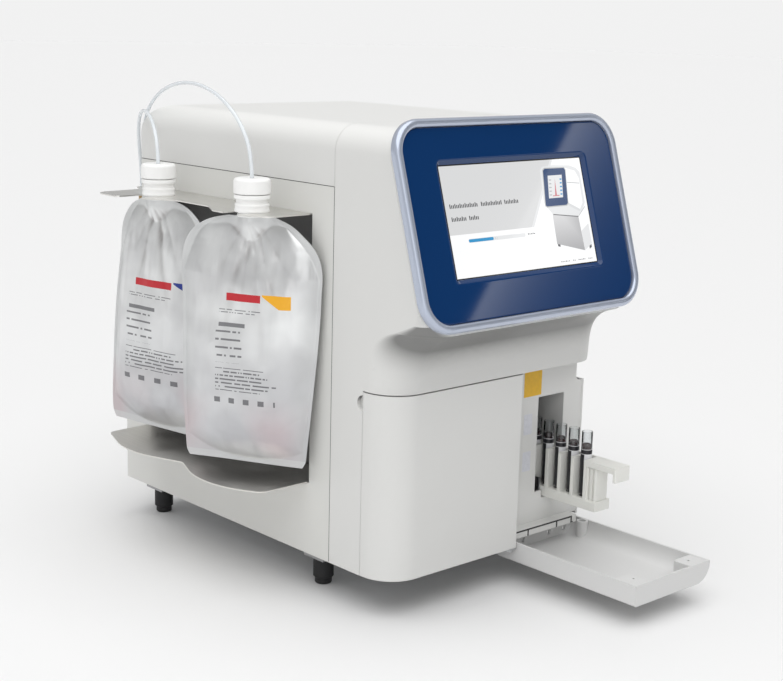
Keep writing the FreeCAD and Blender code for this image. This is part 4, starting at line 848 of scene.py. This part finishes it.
class ANALYZER_OT_lines(bpy.types.Operator):
    """Clear tubing from the caps to the rear fittings"""
    bl_idname = "analyzer.lines"
    bl_label = "Lines"

    def execute(self, context):
        s = Shader("clear_tubing")
        fine = s.noise(s.coords(), 60.0, 2.0)
        s.set(color=(0.90, 0.94, 0.97), rough=s.span(fine, 0.3, 0.7, 0.14, 0.22), through=0.25, index=1.36,
              coat=0.4, coat_rough=0.05)
        for name, points in LINES.items():
            curve = bpy.data.curves.new(f"eluent_line_{name}_look", "CURVE")
            curve.dimensions = "3D"
            curve.bevel_depth = 0.0022
            curve.bevel_resolution = 5
            curve.use_fill_caps = True
            spline = curve.splines.new("NURBS")
            spline.points.add(len(points) - 1)
            for point, spot in zip(spline.points, points):
                point.co = (*row(spot), 1.0)
            spline.order_u = 3
            spline.use_endpoint_u = True
            spline.resolution_u = 12
            curve.materials.append(s.mat)
            thing = mount(curve.name, curve, "housing", [f"eluent_line_{name}"])
        return {"FINISHED"}


class ANALYZER_OT_hangers(bpy.types.Operator):
    """Brushed hanger plate and the dished shelf"""
    bl_idname = "analyzer.hangers"
    bl_label = "Hangers"

    def execute(self, context):
        finish(metal("hanger_steel", (0.80, 0.79, 0.76), 1, 0.30, 0.0004), "hanger_plate")
        finish(metal("shelf_steel", (0.80, 0.785, 0.75), 1, 0.42, 0.0004), "bag_shelf")
        return {"FINISHED"}


# Sample side

def repeat_row(name, source, count, pitch, start, material, body, stands=()):
    """Copies of a mesh along the depth, made with Geometry Nodes and kept as a plain mesh."""
    tree = bpy.data.node_groups.new(f"{name}_row", "GeometryNodeTree")
    tree.interface.new_socket("Geometry", in_out="INPUT", socket_type="NodeSocketGeometry")
    for label, kind in (("Count", "NodeSocketInt"), ("Pitch", "NodeSocketVector"), ("Start", "NodeSocketVector"),
                        ("Material", "NodeSocketMaterial")):
        tree.interface.new_socket(label, in_out="INPUT", socket_type=kind)
    tree.interface.new_socket("Geometry", in_out="OUTPUT", socket_type="NodeSocketGeometry")
    enter, leave = tree.nodes.new("NodeGroupInput"), tree.nodes.new("NodeGroupOutput")
    line = tree.nodes.new("GeometryNodeMeshLine")
    line.mode = "OFFSET"
    onto = tree.nodes.new("GeometryNodeInstanceOnPoints")
    solid = tree.nodes.new("GeometryNodeRealizeInstances")
    paint_it = tree.nodes.new("GeometryNodeSetMaterial")
    for start_socket, end_socket in (
            (enter.outputs["Count"], line.inputs["Count"]), (enter.outputs["Start"], line.inputs["Start Location"]),
            (enter.outputs["Pitch"], line.inputs["Offset"]), (line.outputs["Mesh"], onto.inputs["Points"]),
            (enter.outputs["Geometry"], onto.inputs["Instance"]),
            (onto.outputs["Instances"], solid.inputs["Geometry"]),
            (solid.outputs["Geometry"], paint_it.inputs["Geometry"]),
            (enter.outputs["Material"], paint_it.inputs["Material"]),
            (paint_it.outputs["Geometry"], leave.inputs["Geometry"])):
        tree.links.new(start_socket, end_socket)
    verts, faces = source
    mesh = bpy.data.meshes.new(name)
    mesh.from_pydata([Vector(v) * 0.001 for v in verts], [], faces)
    mesh.shade_smooth()
    mesh.set_sharp_from_angle(angle=math.radians(35))
    maker = bpy.data.objects.new(f"{name}_maker", mesh)
    bpy.context.scene.collection.objects.link(maker)
    modifier = maker.modifiers.new("Row", "NODES")
    modifier.node_group = tree
    values = {"Count": count, "Pitch": Vector(pitch) * 0.001, "Start": row(start), "Material": material}
    for item in tree.interface.items_tree:
        if item.item_type == "SOCKET" and item.in_out == "INPUT" and item.name in values:
            modifier[item.identifier] = values[item.name]
    graph = bpy.context.evaluated_depsgraph_get()
    plain_mesh = bpy.data.meshes.new_from_object(maker.evaluated_get(graph), depsgraph=graph)
    plain_mesh.name = name
    if not plain_mesh.materials:
        plain_mesh.materials.append(material)
    bpy.data.objects.remove(maker)
    return mount(name, plain_mesh, body, stands)


class ANALYZER_OT_samples(bpy.types.Operator):
    """Flap, rack and the labelled tubes"""
    bl_idname = "analyzer.samples"
    bl_label = "Sample side"

    def execute(self, context):
        look = context.scene.analyzer_finish
        finish(paint("flap_paint", (0.69, 0.69, 0.685), look.gloss, 1300.0, look.grain, 0.0010), "sample_door")
        finish(paint("rack_white", (0.83, 0.83, 0.79), 0.4, 1300.0, 0.05, 0.0007), "tube_rack")
        spots = [(Vector(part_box(f"sample_tube_{i}")[0]) + Vector(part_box(f"sample_tube_{i}")[1])) * 500.0 + ORIGIN
                 for i in (1, 2)]
        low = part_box("sample_tube_1")[0].z * 1000 + ORIGIN.z
        across, first, pitch = spots[0].x, spots[0].y, spots[1].y - spots[0].y
        glass = [(0.0, 0.0), (2.0, 0.3), (4.2, 1.6), (5.8, 3.6), (6.4, 6.0), (6.5, 8.0), (6.5, 83.4), (6.3, 84.0),
                 (5.9, 84.0), (5.7, 83.4), (5.7, 8.0), (4.8, 4.0), (3.0, 1.9), (0.0, 1.2)]
        label = [(6.52, 9.0), (6.66, 9.2), (6.66, 62.8), (6.52, 63.0)]
        filled = [(0.0, 1.6), (3.0, 2.3), (4.7, 4.4), (5.55, 8.0), (5.6, 67.0), (5.2, 66.6), (0.0, 66.5)]
        tube = clear("tube_clear", (0.93, 0.95, 0.96), 0.02)
        blood = plain("tube_contents", (0.035, 0.006, 0.008), 0.18, coat=0.3)
        parts = (("tube_glass_row", glass, tube, [f"sample_tube_{i}" for i in range(1, 6)]),
                 ("tube_contents_row", filled, blood, []),
                 ("tube_label_row", label, self.label(across, first, pitch, low), []))
        for name, profile, material, stands in parts:
            source = lathe(profile, (0, 0, 0), 48)
            repeat_row(name, source, 5, (0, pitch, 0), (across, first, low), material, "rack", stands)
        return {"FINISHED"}

    def label(self, across, first, pitch, low):
        """Paper sleeve with plain bars on one half and a dark field on the other."""
        s = Shader("tube_label")
        right, deep, high = s.split(s.coords((1000, 1000, 1000)))
        x = s.math("SUBTRACT", right, across - ORIGIN.x)
        turns = s.math("DIVIDE", s.math("SUBTRACT", deep, first - ORIGIN.y - pitch / 2), pitch)
        y = s.math("MULTIPLY", s.math("SUBTRACT", s.math("FRACT", turns), 0.5), pitch)
        z = s.math("SUBTRACT", high, low - ORIGIN.z)
        facing = s.math("SUBTRACT", s.math("MULTIPLY", x, 0.74), s.math("MULTIPLY", y, 0.67))
        stripe = s.math("FLOOR", s.math("MULTIPLY", z, 1.35))
        pick = s.add("TexWhiteNoise", {"W": stripe}, noise_dimensions="1D").outputs["Value"]
        bars = s.chain("MULTIPLY", s.math("GREATER_THAN", pick, 0.5), s.between(z, 14, 50),
                       s.between(facing, -2.5, 2.5))
        half = s.math("MULTIPLY", s.math("LESS_THAN", facing, -3.2), s.math("LESS_THAN", z, 57))
        dark = s.chain("MAXIMUM", bars, half, s.between(z, 57.5, 62.5))
        return s.set(color=s.mix(dark, (0.72, 0.72, 0.74), (0.012, 0.012, 0.016)), rough=0.35)


class ANALYZER_OT_patches(bpy.types.Operator):
    """Blank coloured stickers beside the sample opening"""
    bl_idname = "analyzer.patches"
    bl_label = "Blank stickers"

    def execute(self, context):
        yellow = plain("sticker_yellow", (0.80, 0.46, 0.01), 0.4)
        pale = plain("sticker_pale", (0.70, 0.71, 0.76), 0.4)
        for name, x0, x1, z0, z1, tone in (("sticker_top", 232, 262, 171, 201, yellow),
                                           ("sticker_middle", 234, 248, 125, 150, pale),
                                           ("sticker_low", 234, 248, 80, 104, pale)):
            loops = [[Vector((x, y, z)) for x, z in round_rect(x0, x1, z0, z1, 1.2, 4)] for y in (24.98, 24.85)]
            piece(name, rings(loops), tone)
        return {"FINISHED"}


# Stage

def place(thing, direction=None):
    """Link a thing of the stage, aimed along a direction where one is given."""
    if direction:
        thing.rotation_mode = "QUATERNION"
        thing.rotation_quaternion = direction.to_track_quat("-Z", "Y")
    bpy.context.scene.collection.objects.link(thing)


def lamp(name, spot, target, size, watts):
    """A rectangular soft light aimed at a point, in row-frame metres."""
    data = bpy.data.lights.new(name, "AREA")
    data.shape = "RECTANGLE"
    data.size, data.size_y = size
    data.energy = watts
    thing = bpy.data.objects.new(name, data)
    thing.location = spot
    place(thing, Vector(target) - Vector(spot))


CAMERA = Vector((-1.15973, -1.30204, 0.64411))
# Light of the room: band at the horizon, dimming of the corner, and how fast and how bright the streak is
HORIZON, CORNER_DIM, STREAK_DECAY, STREAK_POWER = 0.404, 0.93, 42.0, 2.6


def surround(scene, strength):
    """Soft white room: brighter at the horizon, with one dim corner and a slanted soft box in it."""
    world = bpy.data.worlds.new("surround")
    s = Shader("surround", world)
    back = s.tree.nodes["Background"]
    look = s.add("TexCoord").outputs["Generated"]

    def along(direction):
        return s.add("VectorMath", {0: look, 1: direction}, operation="DOT_PRODUCT").outputs["Value"]

    def ramp(value, low, high):
        return s.add("MapRange", {"Value": value, "From Min": low, "From Max": high},
                     interpolation_type="SMOOTHSTEP").outputs[0]

    facing = Vector((0, -math.cos(TILT), math.sin(TILT)))
    centre = row(lean(0, 57, 4))
    mirrored = CAMERA - facing * (2 * (CAMERA - centre).dot(facing))
    axis = (centre - mirrored).normalized()
    up = (Vector((0, 0, 1)) - axis * axis.z).normalized()
    side = axis.cross(up)
    spots = []
    for u, v in ((104, 160), (-112, -46)):
        ray = row(lean(u, v, 4)) - mirrored
        spots.append((ray.dot(side) / ray.dot(axis), ray.dot(up) / ray.dot(axis)))
    run = (spots[0][0] - spots[1][0], spots[0][1] - spots[1][1])
    scale = math.hypot(*run)
    across = (-run[1] / scale, run[0] / scale)
    ahead = s.math("MAXIMUM", along(axis), 0.001)
    off_x = s.math("SUBTRACT", s.math("DIVIDE", along(side), ahead), spots[0][0])
    off_y = s.math("SUBTRACT", s.math("DIVIDE", along(up), ahead), spots[0][1])
    from_edge = s.math("ADD", s.math("MULTIPLY", off_x, across[0]), s.math("MULTIPLY", off_y, across[1]))
    zone = ramp(along(axis), math.cos(math.radians(34)), math.cos(math.radians(17)))
    fade = s.math("POWER", 2.718, s.math("MULTIPLY", from_edge, -STREAK_DECAY))
    box = s.math("MULTIPLY", ramp(from_edge, 0.0, 0.002), s.math("MINIMUM", fade, 1.0))
    horizon = ramp(s.math("ABSOLUTE", along((0, 0, 1))), 0.10, 0.02)
    room = s.math("ADD", s.math("MULTIPLY", horizon, HORIZON), strength)
    room = s.math("MULTIPLY", room, s.math("SUBTRACT", 1.0, s.math("MULTIPLY", zone, CORNER_DIM)))
    streak = s.math("MULTIPLY", s.math("MULTIPLY", box, zone), STREAK_POWER)
    back.inputs["Color"].default_value = (1, 1, 1, 1)
    s.put(back, "Strength", s.math("ADD", room, streak))
    scene.world = world


class ANALYZER_OT_stage(bpy.types.Operator):
    """Floor, soft lights, camera and render settings"""
    bl_idname = "analyzer.stage"
    bl_label = "Stage"

    def execute(self, context):
        scene = context.scene
        look = scene.analyzer_stage
        mesh = bpy.data.meshes.new("floor")
        half = 30
        mesh.from_pydata([(-half, -half, 0), (half, -half, 0), (half, half, 0), (-half, half, 0)], [], [(0, 1, 2, 3)])
        mesh.materials.append(Shader("floor_pale").set(color=(0.84, 0.84, 0.84), rough=0.8))
        place(bpy.data.objects.new("floor", mesh))
        surround(scene, look.world)
        data = bpy.data.lights.new("top", "SUN")
        data.energy = look.sun
        data.angle = math.radians(80)
        place(bpy.data.objects.new("top", data), Vector((0.16, 0.14, -1.0)))
        lamp("key", (-1.75, -1.9, 1.35), (0.0, 0.0, 0.25), (1.7, 2.4), look.key)
        data = bpy.data.cameras.new("camera")
        data.sensor_width = 36.0
        data.lens = 69.17
        data.clip_start, data.clip_end = 0.05, 100.0
        camera = bpy.data.objects.new("camera", data)
        yaw, pitch, roll = math.radians(42.4), math.radians(12.0), math.radians(1.42)
        ahead = Vector((math.sin(yaw) * math.cos(pitch), math.cos(yaw) * math.cos(pitch), -math.sin(pitch)))
        right = Vector((math.cos(yaw), -math.sin(yaw), 0.0))
        up = right.cross(ahead)
        across = right * math.cos(roll) + up * math.sin(roll)
        rise = up * math.cos(roll) - right * math.sin(roll)
        turn = Matrix((across, rise, -ahead)).transposed().to_4x4()
        camera.matrix_world = Matrix.Translation(CAMERA) @ turn
        scene.collection.objects.link(camera)
        scene.camera = camera
        scene.view_settings.view_transform = "Standard"
        scene.view_settings.look = "None"
        return {"FINISHED"}


# Panel and registration

STEPS = ("housing", "inner", "display", "pouches", "caps", "lines", "hangers", "samples", "patches", "stage")


class ANALYZER_PT_main(bpy.types.Panel):
    bl_label = "Analyzer"
    bl_idname = "ANALYZER_PT_main"
    bl_space_type = "VIEW_3D"
    bl_region_type = "UI"
    bl_category = "Analyzer"

    def draw(self, context):
        scene = context.scene
        for holder in (getattr(scene, name) for name in HOLDERS):
            for name in holder.bl_rna.properties.keys():
                if name not in ("rna_type", "name"):
                    self.layout.prop(holder, name)
        for step in STEPS:
            self.layout.operator(f"analyzer.{step}")


HOLDERS = {"analyzer_finish": FinishSettings, "analyzer_pouch": PouchSettings, "analyzer_stage": StageSettings}
CLASSES = (*HOLDERS.values(), ANALYZER_OT_housing, ANALYZER_OT_inner, ANALYZER_OT_display, ANALYZER_OT_pouches,
           ANALYZER_OT_caps, ANALYZER_OT_lines, ANALYZER_OT_hangers, ANALYZER_OT_samples, ANALYZER_OT_patches,
           ANALYZER_OT_stage, ANALYZER_PT_main)


def register():
    for item in CLASSES:
        bpy.utils.register_class(item)
    for name, kind in HOLDERS.items():
        setattr(bpy.types.Scene, name, bpy.props.PointerProperty(type=kind))


def unregister():
    for name in HOLDERS:
        delattr(bpy.types.Scene, name)
    for item in reversed(CLASSES):
        bpy.utils.unregister_class(item)


def main():
    """Build every piece."""
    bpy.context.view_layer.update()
    register()
    for step in STEPS:
        getattr(bpy.ops.analyzer, step)()


if __name__ == "__main__":
    main()
